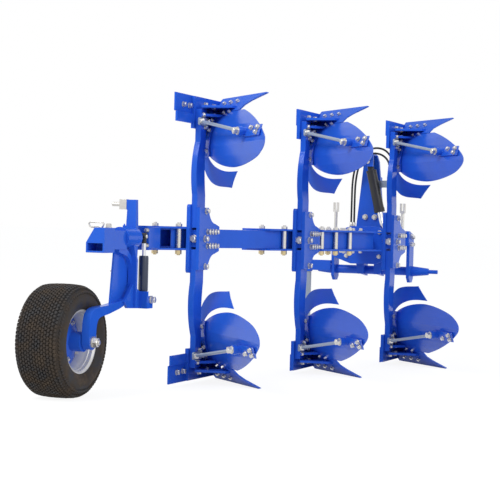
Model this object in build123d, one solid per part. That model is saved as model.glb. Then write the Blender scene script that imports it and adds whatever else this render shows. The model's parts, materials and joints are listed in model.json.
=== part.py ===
from build123d import *
from math import atan2, cos, degrees, hypot, radians, sin, sqrt, tan
import os

# Fully mounted reversible moldboard plough, three furrows, in millimetres.
# While it is built, +X is the direction of travel, +Y the left side, the floor is z = 0,
# and the turnover axis runs along X at y = 0 and z = AXIS_H. Every body is built below
# the axis, and its twin above is its mirror image in the plane of the beam.

# Working sizes
AXIS_H = 840.0            # turnover axis and beam centre above the floor
BODY_PITCH = 954.0        # along the travel, from one leg to the next
FURROW = 300.0            # across the travel, from one leg to the next
FRONT_LEG_Y = -292.0      # front leg from the turnover axis
FIT = 0.3                 # clearance between pieces that are bolted face to face
RUN = 0.05                # radial running clearance of a shaft in its bearing

# Main beam
BEAM = 110.0              # square tube, outside
BEAM_WALL = 8.0
BEAM_TO_LEG = 117.7       # beam centre line left of each leg centre
BEAM_FRONT_X = -86.0      # centre of the beam's front end
BEAM_REAR_X = -2030.0     # centre of the beam's rear end

# Legs and the cheek plates that clamp them
LEG_THICK = 35.0
LEG_FOOT_DEEP = 80.0      # front to back at the frog
LEG_FOOT_BACK = -33.0     # rear edge of the foot from the leg centre
LEG_FOOT_H = 95.0         # leg end above the floor
LEG_HEAD = 62.0           # leg end above or below the axis
CHEEK = 20.0              # cheek plate thickness
CHEEK_REACH = 197.0       # left cheek above and below the axis
RIGHT_REACH = 180.0       # right cheek above and below the axis
CHEEK_BACK = -79.0        # rear edge of the left cheek from the leg centre
CHEEK_FRONT = 70.0
WING_REACH = 232.0        # front end of the right cheek's wing from the leg centre
WING_HALF = 72.0          # half height of the wing at its front end

# Share and mouldboard, a surface of level lines on a round guide curve
POINT_X = 430.0           # share point ahead of the leg centre
POINT_Y = 30.0
WING_X = 12.0             # share wing ahead of the leg centre
WING_Y = -411.0
GUIDE_R = 340.0           # radius of the guide curve
GUIDE_LIFT = 25.0         # slope of the surface at the cutting edge, degrees
LINE_SWING = 4.6          # how far the lines turn back over GUIDE_SWING_H, degrees
GUIDE_SWING_H = 300.0
BOARD_THICK = 8.0
SHARE_THICK = 11.0
SHARE_H = 104.0           # top of the share above the floor
BACKING = 12.0            # strips and ribs behind the boards

# Frog and landside
FROG_THICK = 20.0
FROG_TOP = 262.0          # top of the frog's cheek above the floor
FROG_HEEL = 124.0         # foot of the rear body's heel plate above the floor
LANDSIDE_THICK = 10.0
LANDSIDE_LOW = 18.0
LANDSIDE_HIGH = 122.0
LANDSIDE_FRONT = 425.0
LANDSIDE_BACK = -40.0
LANDSIDE_BACK_LONG = -268.0

# Stays
STAY_D = 20.0
STAY_LEG_H = 168.0        # stay's bolt at the leg above the floor
STAY_TAIL_H = 246.0       # stay's eye at the board's tail above the floor
STAY_EYE_Y = -436.0       # stay's eye from the leg centre
STAY_EYE_D = 52.0

# Console plates above and below the beam
DECK = 12.0
PIN_D = 30.0              # spacer tubes beside the beam
BOLT_D = 20.0             # their bolts
PIN_GAP = 2.0             # between the beam and a spacer tube
CONSOLE_BACK = -2340.0    # rear end of the rear console

# Turnover shaft, housing and crank
SHAFT_D = 90.0
SHAFT_BACK = -60.0
HOUSING_D = 150.0
HOUSING_BACK = 130.0
HOUSING_FRONT = 330.0
HOUSING_PLATE_X = 300.0   # rear face of the housing's cross plate
HOUSING_PLATE = 25.0
RAIL_Y = 214.0            # side rails from the axis
RAIL_THICK = 20.0
CRANK_X = 345.0           # rear face of the crank disc
CRANK_THICK = 20.0
CRANK_R = 134.0           # crank pin from the turnover axis
CRANK_PIN_D = 32.0
CYL_X = 408.0             # plane of the turnover cylinder
CYL_TOP_H = 560.0         # cylinder's top pin above the axis
CYL_D = 72.0
CYL_PIN_D = 30.0
ROD_D = 36.0
EYE_D = 62.0
EYE_THICK = 38.0
EYE_GAP = 8.0             # open pivot between the rod's eye and the crank boss

# Hitch frame
HITCH_X = 560.0           # cross shaft
HITCH_DROP = 212.0        # cross shaft below the axis
HITCH_SPREAD = 825.0      # between the shoulders of the lower pins
HITCH_PIN_R = 14.0
HITCH_PIN_L = 66.0
CROSS_D = 62.0
ARM_Y = 280.0             # side arms from the axis
ARM_THICK = 22.0
ARM_DEEP = 112.0
ARM_TOP = 74.0
ARM_LOW = -292.0
TOWER_X = 455.0           # rear face of the tower plate
TOWER_THICK = 25.0
TOWER_RISE = 50.0         # tower top above the cylinder's pin
TOP_LINK_RISE = 632.0     # top link bore above the lower pins
TOP_PIN_R = 13.0          # top link bore
TOP_EAR_GAP = 54.0
TOP_EAR = 18.0

# Parking stand
STAND_X = 470.0
STAND_Y = HITCH_SPREAD / 2 + 49.5
STAND_BAR = 36.0
STAND_TOP = -120.0        # top of the stand's leg from the axis
STAND_FOOT_D = 96.0
SOCKET_WALL = 6.0

# Valve block and hoses
VALVE_TOP = 455.0         # top of the valve block above the axis
HOSE_D = 14.0
FITTING_D = 18.0
HOSE_ROUTES = {           # name: x, y and height above the axis of each point
    "hose_inner": (
        (467, 122, 104), (467, 122, 190), (454, 118, 292), (420, 106, 390),
        (376, 82, 474), (333, 50, 545), (312, 11, 595), (313, -50, 618),
        (331, -104, 613), (358, -144, 581), (384, -158, 532), (384, -158, 476)),
    "hose_outer": (
        (467, 144, 104), (467, 144, 196), (452, 139, 304), (414, 126, 408),
        (364, 98, 498), (322, 57, 576), (294, 1, 628), (300, -58, 653),
        (323, -109, 653), (354, -149, 629), (384, -180, 571), (384, -180, 498)),
}

# Depth wheel on its swinging arm
PIVOT_Y = 471.0
PIVOT_D = 60.0
PIVOT_BACK = -2575.0
POST_X = -2450.0          # rear face of the stop posts
POST_THICK = 32.0
STOP_H = 182.0            # stop screws above and below the axis
KNUCKLE_D = 116.0
KNUCKLE_X = (-2585.0, -2475.0)
BOW_Y = (438.0, 482.0)    # the arm's curved bar
SOCKET_X = (-2866.0, -2742.0)
SOCKET_Y = 418.0          # right face of the scraper socket
DAMPER_X = -2380.0
DAMPER_Y = 422.0
DAMPER_D = 54.0
DAMPER_EYE_D = 40.0
WHEEL_X = -2930.0
WHEEL_Y = 617.0
AXLE_DROP = 542.0         # wheel axle below the turnover axis
AXLE_D = 40.0
TYRE_R = 298.0
TYRE_W = 266.0
RIM_R = 167.0
RIM_W = 208.0
RIM_WALL = 14.0
DISC_WALL = 8.0
HUB_D = 104.0

BEAM_SLOPE = FURROW / BODY_PITCH
BEAM_ANGLE = degrees(atan2(FURROW, BODY_PITCH))
STATIONS = {              # name: (x, y) of the leg centre
    "front": (0.0, FRONT_LEG_Y),
    "middle": (-BODY_PITCH, FRONT_LEG_Y + FURROW),
    "rear": (-2 * BODY_PITCH, FRONT_LEG_Y + 2 * FURROW),
}

parts = {}


def add(name, solid):
    """Keep a finished node under its name."""
    parts[name] = solid


def side_plate(points, y0, thick, round_corners=0.0):
    """Plate in the XZ plane from y0 to y0 + thick, through (x, z) points."""
    return side_face(Polyline(*points, close=True), y0, thick, round_corners)


def side_face(outline, y0, thick, round_corners=0.0):
    """Plate in the XZ plane from y0 to y0 + thick, inside a closed outline."""
    plane = Plane(origin=(0, y0, 0), x_dir=(1, 0, 0), z_dir=(0, -1, 0))
    solid = extrude(plane * make_face(outline), amount=-thick)
    if round_corners:
        solid = fillet(solid.edges().filter_by(Axis.Y), round_corners)
    return solid


def cross_plate(points, x0, thick, round_corners=0.0):
    """Plate in the YZ plane from x0 to x0 + thick, through (y, z) points."""
    return cross_face(Polyline(*points, close=True), x0, thick, round_corners)


def cross_face(outline, x0, thick, round_corners=0.0):
    """Plate in the YZ plane from x0 to x0 + thick, inside a closed outline."""
    plane = Plane(origin=(x0, 0, 0), x_dir=(0, 1, 0), z_dir=(1, 0, 0))
    solid = extrude(plane * make_face(outline), amount=thick)
    if round_corners:
        solid = fillet(solid.edges().filter_by(Axis.X), round_corners)
    return solid


def level_plate(points, z0, thick, round_corners=0.0):
    """Plate in the XY plane from z0 to z0 + thick, through (x, y) points."""
    face = Plane.XY.offset(z0) * make_face(Polyline(*points, close=True))
    solid = extrude(face, amount=thick)
    if round_corners:
        solid = fillet(solid.edges().filter_by(Axis.Z), round_corners)
    return solid


def rod(start, end, diameter, bore=0.0):
    """Round bar or tube from start to end."""
    a = Vector(*start)
    b = Vector(*end)
    plane = Plane(origin=a, z_dir=b - a)
    face = plane * Circle(diameter / 2)
    if bore:
        face = face - plane * Circle(bore / 2)
    return extrude(face, amount=(b - a).length)


def block(x, y, z):
    """Box between the low and high values of each pair."""
    size = (x[1] - x[0], y[1] - y[0], z[1] - z[0])
    return Pos((x[0] + x[1]) / 2, (y[0] + y[1]) / 2, (z[0] + z[1]) / 2) * Box(*size)


def raised(pair):
    """Pair of heights from the axis as heights above the floor."""
    return (AXIS_H + pair[0], AXIS_H + pair[1])


def joined(solids):
    """One solid from several that overlap."""
    whole = solids[0]
    for solid in solids[1:]:
        whole = whole + solid
    return whole


def beam_y(x):
    """Y of the beam's centre line at x."""
    return FRONT_LEG_Y + BEAM_TO_LEG - BEAM_SLOPE * x


def along_beam(x0, x1, half):
    """Square bar along the beam, from x0 to x1 on its centre line."""
    length = (x1 - x0) / cos(radians(BEAM_ANGLE))
    middle = (x0 + x1) / 2
    return Pos(middle, beam_y(middle), AXIS_H) * Rot(0, 0, -BEAM_ANGLE) * Box(length, 2 * half, 2 * half)


def up(solid):
    """Mirror image above the beam of a solid built below it."""
    return mirror(solid, about=Plane.XY.offset(AXIS_H))


def both(solid):
    """A lower solid and its upper twin."""
    return Compound(children=[solid, up(solid)])


def at_station(name, solid):
    """A solid moved from the leg centre to its station."""
    x, y = STATIONS[name]
    return Pos(x, y, 0) * solid


# Share and mouldboard surface
EDGE_ANGLE = atan2(POINT_Y - WING_Y, POINT_X - WING_X)


def guide(h):
    """Slope of the guide curve at height h, in radians."""
    c = cos(radians(GUIDE_LIFT)) - h / GUIDE_R
    return atan2(sqrt(1 - c * c), c)


def line_start(h, behind):
    """Start and direction of the surface's level line at height h, set back by behind."""
    slope = guide(h)
    back = GUIDE_R * (sin(slope) - sin(radians(GUIDE_LIFT))) + behind / sin(slope)
    swing = EDGE_ANGLE - radians(LINE_SWING) * min(h / GUIDE_SWING_H, 1.0)
    x = POINT_X - back * sin(EDGE_ANGLE)
    y = POINT_Y + back * cos(EDGE_ANGLE)
    return x, y, -cos(swing), -sin(swing)


def surface_slab(heights, t0, t1, front, back):
    """Slab between two offsets of the surface, over the given heights."""
    sections = []
    for h in heights:
        corners = []
        for behind, t in ((front, t0), (front, t1), (back, t1), (back, t0)):
            x, y, dx, dy = line_start(h, behind)
            corners.append((x + t * dx, y + t * dy, h))
        sections.append(make_face(Polyline(*corners, close=True)))
    return loft(sections, ruled=True)


def on_surface(h, y, behind):
    """Distance along the level line at height h to the given y, and the point there."""
    x0, y0, dx, dy = line_start(h, behind)
    t = (y - y0) / dy
    return t, (x0 + t * dx, y, h)


def front_view(outline):
    """Prism along the travel inside a closed (y, h) outline, used to cut plates to shape."""
    return cross_face(outline, -900.0, 1500.0)


BEHIND = BOARD_THICK + FIT
BOARD_HEIGHTS = (SHARE_H, 150.0, 200.0, 255.0, 310.0, 365.0, 420.0, 470.0)
BOARD_EDGE = (            # y, h of the mouldboard's free edge, from the shin to the share
    (-50.0, 372.0),
    (-130.0, 408.0),
    (-230.0, 430.0),
    (-300.0, 435.0),
    (-375.0, 430.0),
    (-510.0, 402.0),
    (-600.0, 360.0),
    (-634.0, 312.0),
    (-595.0, 254.0),
    (-513.0, 196.0),
    (-400.0, 138.0),
    (-310.0, SHARE_H),
)
BLADE = (                 # y, h around the share
    (POINT_Y, -1.0),
    (POINT_Y, SHARE_H),
    (-262.0, SHARE_H),
    (-282.0, 74.0),
    (WING_Y, 6.0),
    (WING_Y, -1.0),
)
GUARD_HEIGHTS = (255.0, 310.0, 365.0, 420.0, 470.0, 510.0, 550.0)
GUARD_OUTER = ((-5.0, 284.0), (36.0, 310.0), (46.0, 425.0), (6.0, 506.0), (-79.0, 534.0), (-195.0, 544.0))
GUARD_INNER = ((-322.0, 457.0), (-206.0, 454.0), (-110.0, 434.0), (-50.0, 402.0), (-5.0, 340.0))


def mouldboard():
    shin = Polyline((-310, SHARE_H), (-8, SHARE_H), (-8, 335), BOARD_EDGE[0])
    slab = surface_slab(BOARD_HEIGHTS, 0.0, 1300.0, 0.0, BOARD_THICK)
    return slab & front_view([shin, Spline(*BOARD_EDGE)])


def share():
    blade = surface_slab((0.0, 50.0, SHARE_H - FIT), 0.0, 640.0, -2.0, SHARE_THICK)
    return blade & front_view(Polyline(*BLADE, close=True))


def leg():
    """Curved leg from inside its cheeks down to the frog."""
    head = AXIS_H - LEG_HEAD
    neck = AXIS_H - 250
    bend = AXIS_H - 395
    knee = AXIS_H - 560
    foot_front = LEG_FOOT_BACK + LEG_FOOT_DEEP
    outline = [
        Line((-59, head), (-59, neck)),
        ThreePointArc((-59, neck), (-78, bend), (LEG_FOOT_BACK, knee)),
        Polyline(
            (LEG_FOOT_BACK, knee), (LEG_FOOT_BACK, LEG_FOOT_H), (foot_front, LEG_FOOT_H), (foot_front, knee)),
        ThreePointArc((foot_front, knee), (40, bend), (57, neck)),
        Polyline((57, neck), (57, head), (-59, head)),
    ]
    return side_face(outline, -LEG_THICK / 2, LEG_THICK)


def frog(back):
    """Cheek beside the leg's foot, with the ribs and the strip that back the boards."""
    half = LEG_THICK / 2
    foot_front = LEG_FOOT_BACK + LEG_FOOT_DEEP + FIT
    cheek = side_plate(
        ((-52, 22), (POINT_X, 22), (POINT_X, FROG_TOP), (foot_front + 40, FROG_TOP),
         (foot_front - 10, FROG_TOP - 55), (-52, FROG_TOP - 55)), half + FIT, FROG_THICK)
    solids = [cheek]
    for h, length in ((80.0, 330.0), (STAY_LEG_H - 40, 180.0)):
        t0, near = on_surface(h, half, BOARD_THICK / 2)
        x0, y0, dx, dy = line_start(h, BOARD_THICK / 2)
        far = (x0 + (t0 + length) * dx, y0 + (t0 + length) * dy)
        solids.append(level_plate(
            ((near[0], half + 10), near[:2], far, (far[0] - 30, far[1] + 20), (LEG_FOOT_BACK, -half - FIT),
             (foot_front, -half - FIT), (foot_front, half + 10)), h - 7, 14.0))
    shin = surface_slab(BOARD_HEIGHTS, 0.0, 700.0, BEHIND, BEHIND + BACKING)
    solids.append(shin & front_view(Polyline((24, 112), (24, 366), (-46, 366), (-46, 112), close=True)))
    if back < LANDSIDE_BACK:
        heel = half + FIT + FROG_THICK - BACKING
        solids.append(block((back, -50), (heel, heel + BACKING), (FROG_HEEL, FROG_HEEL + 56)))
    body = joined(solids)
    body = body - surface_slab(BOARD_HEIGHTS, -90.0, 1300.0, -300.0, BEHIND)
    body = body - surface_slab((-1.0, 50.0, SHARE_H), -90.0, 700.0, -300.0, SHARE_THICK + FIT)
    foot = block((-90, foot_front), (-half - FIT, half + FIT), (LEG_FOOT_H - FIT, FROG_TOP + 200))
    return body - foot


def landside(back):
    side = LEG_THICK / 2 + FROG_THICK + 2 * FIT
    return side_plate(
        ((back, LANDSIDE_LOW), (LANDSIDE_FRONT, LANDSIDE_LOW), (LANDSIDE_FRONT - 60, LANDSIDE_HIGH),
         (back, LANDSIDE_HIGH)), side, LANDSIDE_THICK)


def cheek_bracket():
    """Cheek plates that clamp two legs, with the wing that seats on the beam."""
    half = LEG_THICK / 2
    z = AXIS_H
    left = side_plate(
        ((CHEEK_BACK, z - CHEEK_REACH), (CHEEK_FRONT, z - CHEEK_REACH), (CHEEK_FRONT, z + CHEEK_REACH),
         (CHEEK_BACK, z + CHEEK_REACH)), half, CHEEK, 18.0)
    ends = ((68, RIGHT_REACH), (105, 112), (165, 88))
    low = [(x, z - reach) for x, reach in ends]
    high = [(x, z + reach) for x, reach in reversed(ends)]
    outline = [
        Line((-62, z - RIGHT_REACH), low[0]),
        ThreePointArc(*low),
        Polyline(low[2], (WING_REACH, z - WING_HALF), (WING_REACH, z + WING_HALF), high[0]),
        ThreePointArc(*high),
        Polyline(high[2], (-62, z + RIGHT_REACH), (-62, z - RIGHT_REACH)),
    ]
    right = side_face(outline, -half - CHEEK, CHEEK)
    web = block((-45, CHEEK_FRONT), (-half - 1, half + 1), (z - 45, z + 45))
    seat = BEAM_TO_LEG - BEAM / 2 / cos(radians(BEAM_ANGLE))
    root = CHEEK_FRONT - 1
    wedge = level_plate(
        ((root, -half - 1), (WING_REACH, -half - 1), (WING_REACH, seat - BEAM_SLOPE * WING_REACH),
         (root, seat - BEAM_SLOPE * root)), z - 48, 96)
    return left + right + web + wedge


def stay_eye():
    """Place of the stay's eye on the back of the mouldboard, and the way out from it."""
    seat = on_surface(STAY_TAIL_H, STAY_EYE_Y, BEHIND)[1]
    return Vector(*seat), Vector(-sin(EDGE_ANGLE), cos(EDGE_ANGLE), 0)


def tail_bracket():
    """Pad on the back of the mouldboard with the post that carries the stay's eye."""
    seat, out = stay_eye()
    inner = STAY_EYE_Y + 26
    outer = STAY_EYE_Y - 142
    low = STAY_TAIL_H - 30
    high = STAY_TAIL_H + 30
    pad = surface_slab(BOARD_HEIGHTS, 0.0, 1300.0, BEHIND, BEHIND + 10)
    pad = pad & front_view(Polyline((inner, low), (inner, high), (outer, high), (outer, low), close=True))
    post = rod(seat, seat + out * 32, STAY_EYE_D - 8)
    return pad + (post - surface_slab(BOARD_HEIGHTS, 0.0, 1300.0, -60.0, BEHIND))


def stay():
    """Round stay from a lug on the leg's foot to its eye on the tail bracket."""
    side = -LEG_THICK / 2 - FIT
    seat, out = stay_eye()
    eye = rod(seat + out * (32 + FIT), seat + out * (54 + FIT), STAY_EYE_D)
    bar = rod((-50, side - 8, STAY_LEG_H), seat + out * (43 + FIT), STAY_D)
    low = STAY_LEG_H - 22
    high = STAY_LEG_H + 22
    lug = side_plate(((-78, low), (36, low), (36, high), (-78, high)), side - 12, 12.0, 12.0)
    return lug + bar + eye


def trash_board():
    """Curved guard plate between the mouldboard and the beam, bolted to the frog's strip."""
    outline = [
        Polyline(GUARD_INNER[-1], GUARD_OUTER[0]),
        Polyline(*GUARD_OUTER[:2]),
        Spline(*GUARD_OUTER[1:]),
        Line(GUARD_OUTER[-1], GUARD_INNER[0]),
        Spline(*GUARD_INNER),
    ]
    slab = surface_slab(GUARD_HEIGHTS, -250.0, 900.0, 0.0, BOARD_THICK)
    return slab & front_view(outline)


beam = along_beam(BEAM_REAR_X, BEAM_FRONT_X, BEAM / 2)
add("main_beam", beam - along_beam(BEAM_REAR_X - 50, BEAM_FRONT_X + 50, BEAM / 2 - BEAM_WALL))
for name in STATIONS:
    back = LANDSIDE_BACK_LONG if name == "rear" else LANDSIDE_BACK
    add("bracket_" + name, at_station(name, cheek_bracket()))
    add("leg_" + name + "_lower", at_station(name, leg()))
    add("leg_" + name + "_upper", up(at_station(name, leg())))
    add("mouldboard_" + name + "_lower", at_station(name, mouldboard()))
    add("mouldboard_" + name + "_upper", up(at_station(name, mouldboard())))
    add("shares_" + name, both(at_station(name, share())))
    add("frogs_" + name, both(at_station(name, frog(back))))
    add("landsides_" + name, both(at_station(name, landside(back))))
    add("stays_" + name, both(at_station(name, stay())))
    add("trash_boards_" + name, both(at_station(name, trash_board())))
add("tail_brackets", Compound(children=[both(at_station(name, tail_bracket())) for name in STATIONS]))

# Console plates, the walls between them and the clamp bolts beside the beam
GAP = BEAM / 2 + FIT      # from the axis to the face of a console plate
ACROSS = BEAM / 2 / cos(radians(BEAM_ANGLE)) + PIN_D / 2 + PIN_GAP
WIDE = ACROSS + PIN_D / 2 + 8
WALLS = (AXIS_H - GAP, AXIS_H + GAP)
FRONT_PINS = (-692.0, -545.0, -395.0)
MIDDLE_PINS = (-1068.0,)
REAR_PINS = (-2008.0,)


def console_plates(points, pins):
    """Upper and lower console plate through (x, y) points, drilled for the clamp bolts."""
    plates = []
    for z0 in (AXIS_H + GAP, AXIS_H - GAP - DECK):
        plate = level_plate(points, z0, DECK, 10.0)
        for x in pins:
            for y in (beam_y(x) - ACROSS, beam_y(x) + ACROSS):
                plate = plate - rod((x, y, z0 - 1), (x, y, z0 + DECK + 1), BOLT_D + 1)
        plates.append(plate)
    return plates


def cheek_face(name):
    """Y of the left face of a station's left cheek."""
    return STATIONS[name][1] + LEG_THICK / 2 + CHEEK + FIT


def clamp_bolt(x, y):
    """Bolt through both console plates beside the beam, with its spacer tube and nut."""
    face = GAP + DECK
    tube = rod((x, y, AXIS_H - GAP + FIT), (x, y, AXIS_H + GAP - FIT), PIN_D)
    shank = rod((x, y, AXIS_H - face - 30), (x, y, AXIS_H + face + 24), BOLT_D)
    nut = extrude(Pos(x, y, AXIS_H - face - 24) * RegularPolygon(19, 6), amount=24 - FIT)
    head = extrude(Pos(x, y, AXIS_H + face + FIT) * RegularPolygon(19, 6), amount=16)
    return tube + shank + nut + head


bolts = []
for x in FRONT_PINS + MIDDLE_PINS + REAR_PINS:
    bolts.append(clamp_bolt(x, beam_y(x) - ACROSS))
    bolts.append(clamp_bolt(x, beam_y(x) + ACROSS))
add("clamp_pins", Compound(children=bolts))

middle_x, middle_y = STATIONS["middle"]
turn = middle_x + CHEEK_BACK
middle_points = (
    (-1232, beam_y(-1232) - WIDE), (turn - 34, beam_y(turn - 34) - WIDE), (turn + 4, cheek_face("middle")),
    (-892, cheek_face("middle")), (-892, beam_y(-892) + WIDE), (-1232, beam_y(-1232) + WIDE))
add("middle_console", Compound(children=console_plates(middle_points, MIDDLE_PINS)))

turn = CHEEK_BACK
front_points = (
    (-716, beam_y(-716) - WIDE), (turn - 34, beam_y(turn - 34) - WIDE), (turn + 4, cheek_face("front")),
    (64, cheek_face("front")), (112, -96), (112, 96), (-70, 96), (-330, beam_y(-330) + WIDE),
    (-716, beam_y(-716) + WIDE))
front = console_plates(front_points, FRONT_PINS)
for x0 in (SHAFT_BACK, 92.0):
    wall = block((x0, x0 + 20), (-84, 84), WALLS)
    front.append(wall - rod((x0 - 1, 0, AXIS_H), (x0 + 21, 0, AXIS_H), SHAFT_D + 2 * FIT))
add("front_console", joined(front))

rear_x, rear_y = STATIONS["rear"]
turn = rear_x + CHEEK_BACK
end_half = 58.0           # half width of the rear console's end
rear_points = (
    (CONSOLE_BACK, PIVOT_Y - end_half),
    (-2200, beam_y(-2200) - WIDE + 20),
    (turn - 34, beam_y(turn - 34) - WIDE),
    (turn + 4, cheek_face("rear")),
    (rear_x + 60, cheek_face("rear")),
    (rear_x + 60, beam_y(rear_x + 60) + WIDE),
    (-2200, beam_y(-2200) + WIDE - 20),
    (CONSOLE_BACK, PIVOT_Y + end_half))
rear = console_plates(rear_points, REAR_PINS)
rear.append(block((CONSOLE_BACK, CONSOLE_BACK + 20), (PIVOT_Y - end_half, PIVOT_Y + end_half), WALLS))
for y in (PIVOT_Y - 45, PIVOT_Y + 45):
    rear.append(block((CONSOLE_BACK + 10, -2180), (y - 8, y + 8), WALLS))
socket_bore = rod((CONSOLE_BACK - 5, PIVOT_Y, AXIS_H), (-2195, PIVOT_Y, AXIS_H), PIVOT_D + 2 * FIT)
add("rear_console", joined(rear) - socket_bore)

# Turnover shaft with its crank
shaft = rod((SHAFT_BACK, 0, AXIS_H), (CRANK_X, 0, AXIS_H), SHAFT_D)
crank_end = -EYE_D / 2 - CRANK_R
crank = cross_plate(
    ((crank_end, AXIS_H - 31), (0, AXIS_H - 62), (58, AXIS_H - 40), (58, AXIS_H + 40), (0, AXIS_H + 62),
     (crank_end, AXIS_H + 31)), CRANK_X, CRANK_THICK, 20.0)
eye_back = CYL_X - EYE_THICK / 2
boss = rod((CRANK_X + CRANK_THICK - 2, -CRANK_R, AXIS_H), (eye_back - EYE_GAP, -CRANK_R, AXIS_H), EYE_D - 8)
add("turnover_shaft", shaft + crank + boss)

# Headstock
tower_back = TOWER_X - FIT
tower_front = TOWER_X + TOWER_THICK
housing = rod((HOUSING_BACK, 0, AXIS_H), (HOUSING_FRONT, 0, AXIS_H), HOUSING_D)
rail_out = RAIL_Y + RAIL_THICK / 2
housing = housing + cross_plate(
    ((-rail_out, AXIS_H - 118), (-90, AXIS_H - 165), (90, AXIS_H - 165), (rail_out, AXIS_H - 118),
     (rail_out, AXIS_H + 58), (90, AXIS_H + 100), (-90, AXIS_H + 100), (-rail_out, AXIS_H + 58)),
    HOUSING_PLATE_X, HOUSING_PLATE)
for s in (-1, 1):
    sides = sorted((s * (RAIL_Y - RAIL_THICK / 2), s * rail_out))
    housing = housing + block((HOUSING_PLATE_X + HOUSING_PLATE - 1, tower_back), sides, raised((-118, 58)))
bearing = rod((HOUSING_BACK - 1, 0, AXIS_H), (HOUSING_FRONT + 1, 0, AXIS_H), SHAFT_D + 2 * RUN)
add("turnover_housing", housing - bearing)

hitch_z = AXIS_H - HITCH_DROP
cylinder_z = AXIS_H + CYL_TOP_H
top_link_z = hitch_z + TOP_LINK_RISE
arm_out = ARM_Y + ARM_THICK / 2
tower_half = (            # y and height above the axis, down the left half of the tower
    (40, CYL_TOP_H + TOWER_RISE), (56, CYL_TOP_H), (104, ARM_TOP), (arm_out, ARM_TOP), (arm_out, -30),
    (110, -60), (84, -240), (40, -240), (34, -110))
left_half = [(y, AXIS_H + z) for y, z in tower_half]
right_half = [(-y, z) for y, z in reversed(left_half)]
tower = cross_plate(left_half + right_half, TOWER_X, TOWER_THICK)
ear_side = (              # x ahead of the tower and height above the top link bore
    (-1, -120), (40, -40), (105, -34), (105, 34), (40, 44), (-1, 110))
foot_side = ((tower_front - 1, -90), (tower_front - 1, -240), (HITCH_X + 44, -256), (HITCH_X + 44, -168))
for s in (-1, 1):
    ear = side_plate([(tower_front + x, top_link_z + z) for x, z in ear_side],
                     s * (TOP_EAR_GAP + TOP_EAR) / 2 - TOP_EAR / 2, TOP_EAR)
    foot = side_plate([(x, AXIS_H + z) for x, z in foot_side], s * 62 - 10, 20.0)
    tower = tower + ear + foot
top_link_x = tower_front + 66
rear_ear = eye_back - 20
tower = tower + block((rear_ear, TOWER_X + 1), (-38, 38), (cylinder_z + 44, cylinder_z + 56))
tower = tower + block((rear_ear, rear_ear + 14), (-38, 38), (cylinder_z - 34, cylinder_z + 56))
tower = tower - rod((top_link_x, -60, top_link_z), (top_link_x, 60, top_link_z), 2 * TOP_PIN_R)
tower = tower - rod((HITCH_X, -90, hitch_z), (HITCH_X, 90, hitch_z), CROSS_D + 2 * FIT)
tower = tower - rod((rear_ear - 1, 0, cylinder_z), (tower_front + 1, 0, cylinder_z), CYL_PIN_D + 2 * FIT)
add("tower", tower)
add("cylinder_top_pin", rod((rear_ear - 8, 0, cylinder_z), (tower_front + 6, 0, cylinder_z), CYL_PIN_D))

arm_front = tower_front + ARM_DEEP
arm_side = (
    (tower_front, ARM_TOP), (arm_front, ARM_TOP - 30), (arm_front, ARM_LOW + 30),
    (arm_front - 30, ARM_LOW), (tower_front + 36, ARM_LOW), (tower_front, ARM_LOW + 36))
arms = []
for y in (-ARM_Y, ARM_Y):
    arm = side_plate([(x, AXIS_H + z) for x, z in arm_side], y - ARM_THICK / 2, ARM_THICK)
    arms.append(arm - rod((HITCH_X, y - 30, hitch_z), (HITCH_X, y + 30, hitch_z), CROSS_D + 2 * FIT))
add("hitch_arms", Compound(children=arms))

shoulder = HITCH_SPREAD / 2
cross = rod((HITCH_X, -ARM_Y - 40, hitch_z), (HITCH_X, ARM_Y + 40, hitch_z), CROSS_D)
for s in (-1, 1):
    root = arm_out + 1
    plane = Plane(origin=(HITCH_X, s * root, hitch_z), z_dir=(0, s, 0))
    taper = loft([plane * Circle(CROSS_D / 2 + 6), plane.offset(shoulder - root) * Circle(24)])
    pin_end = shoulder + HITCH_PIN_L
    pin = rod((HITCH_X, s * (shoulder - 5), hitch_z), (HITCH_X, s * pin_end, hitch_z), 2 * HITCH_PIN_R)
    cross = cross + taper + pin
add("cross_shaft", cross)

# Parking stand in its socket on the left arm
inside = STAND_BAR / 2 + FIT
outside = inside + SOCKET_WALL
socket = block(
    (STAND_X - outside, STAND_X + outside), (STAND_Y - outside, STAND_Y + outside), raised((-235, -140)))
socket = socket - block(
    (STAND_X - inside, STAND_X + inside), (STAND_Y - inside, STAND_Y + inside), raised((-240, -130)))
arm_face = arm_out + FIT
strap = block((STAND_X - 10, STAND_X + 2), (arm_face, STAND_Y - outside + 1), raised((-225, -150)))
heel = block((STAND_X - 10, STAND_X + 60), (arm_face, arm_face + 12), raised((-175, -150)))
add("stand_socket", socket + strap + heel)
bar = STAND_BAR / 2
stand = block((STAND_X - bar, STAND_X + bar), (STAND_Y - bar, STAND_Y + bar), (8, AXIS_H + STAND_TOP))
add("parking_stand", stand + rod((STAND_X, STAND_Y, 0), (STAND_X, STAND_Y, 10), STAND_FOOT_D))

# Turnover cylinder, leaning to its crank pin
reach = hypot(CRANK_R, CYL_TOP_H)


def on_cylinder(distance):
    """Point on the cylinder's centre line, at a distance from its top pin."""
    return (CYL_X, -CRANK_R / reach * distance, cylinder_z - CYL_TOP_H / reach * distance)


def eye_at(point):
    """Cylinder eye across the travel plane."""
    x, y, z = point
    return rod((x - EYE_THICK / 2, y, z), (x + EYE_THICK / 2, y, z), EYE_D)


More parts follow.
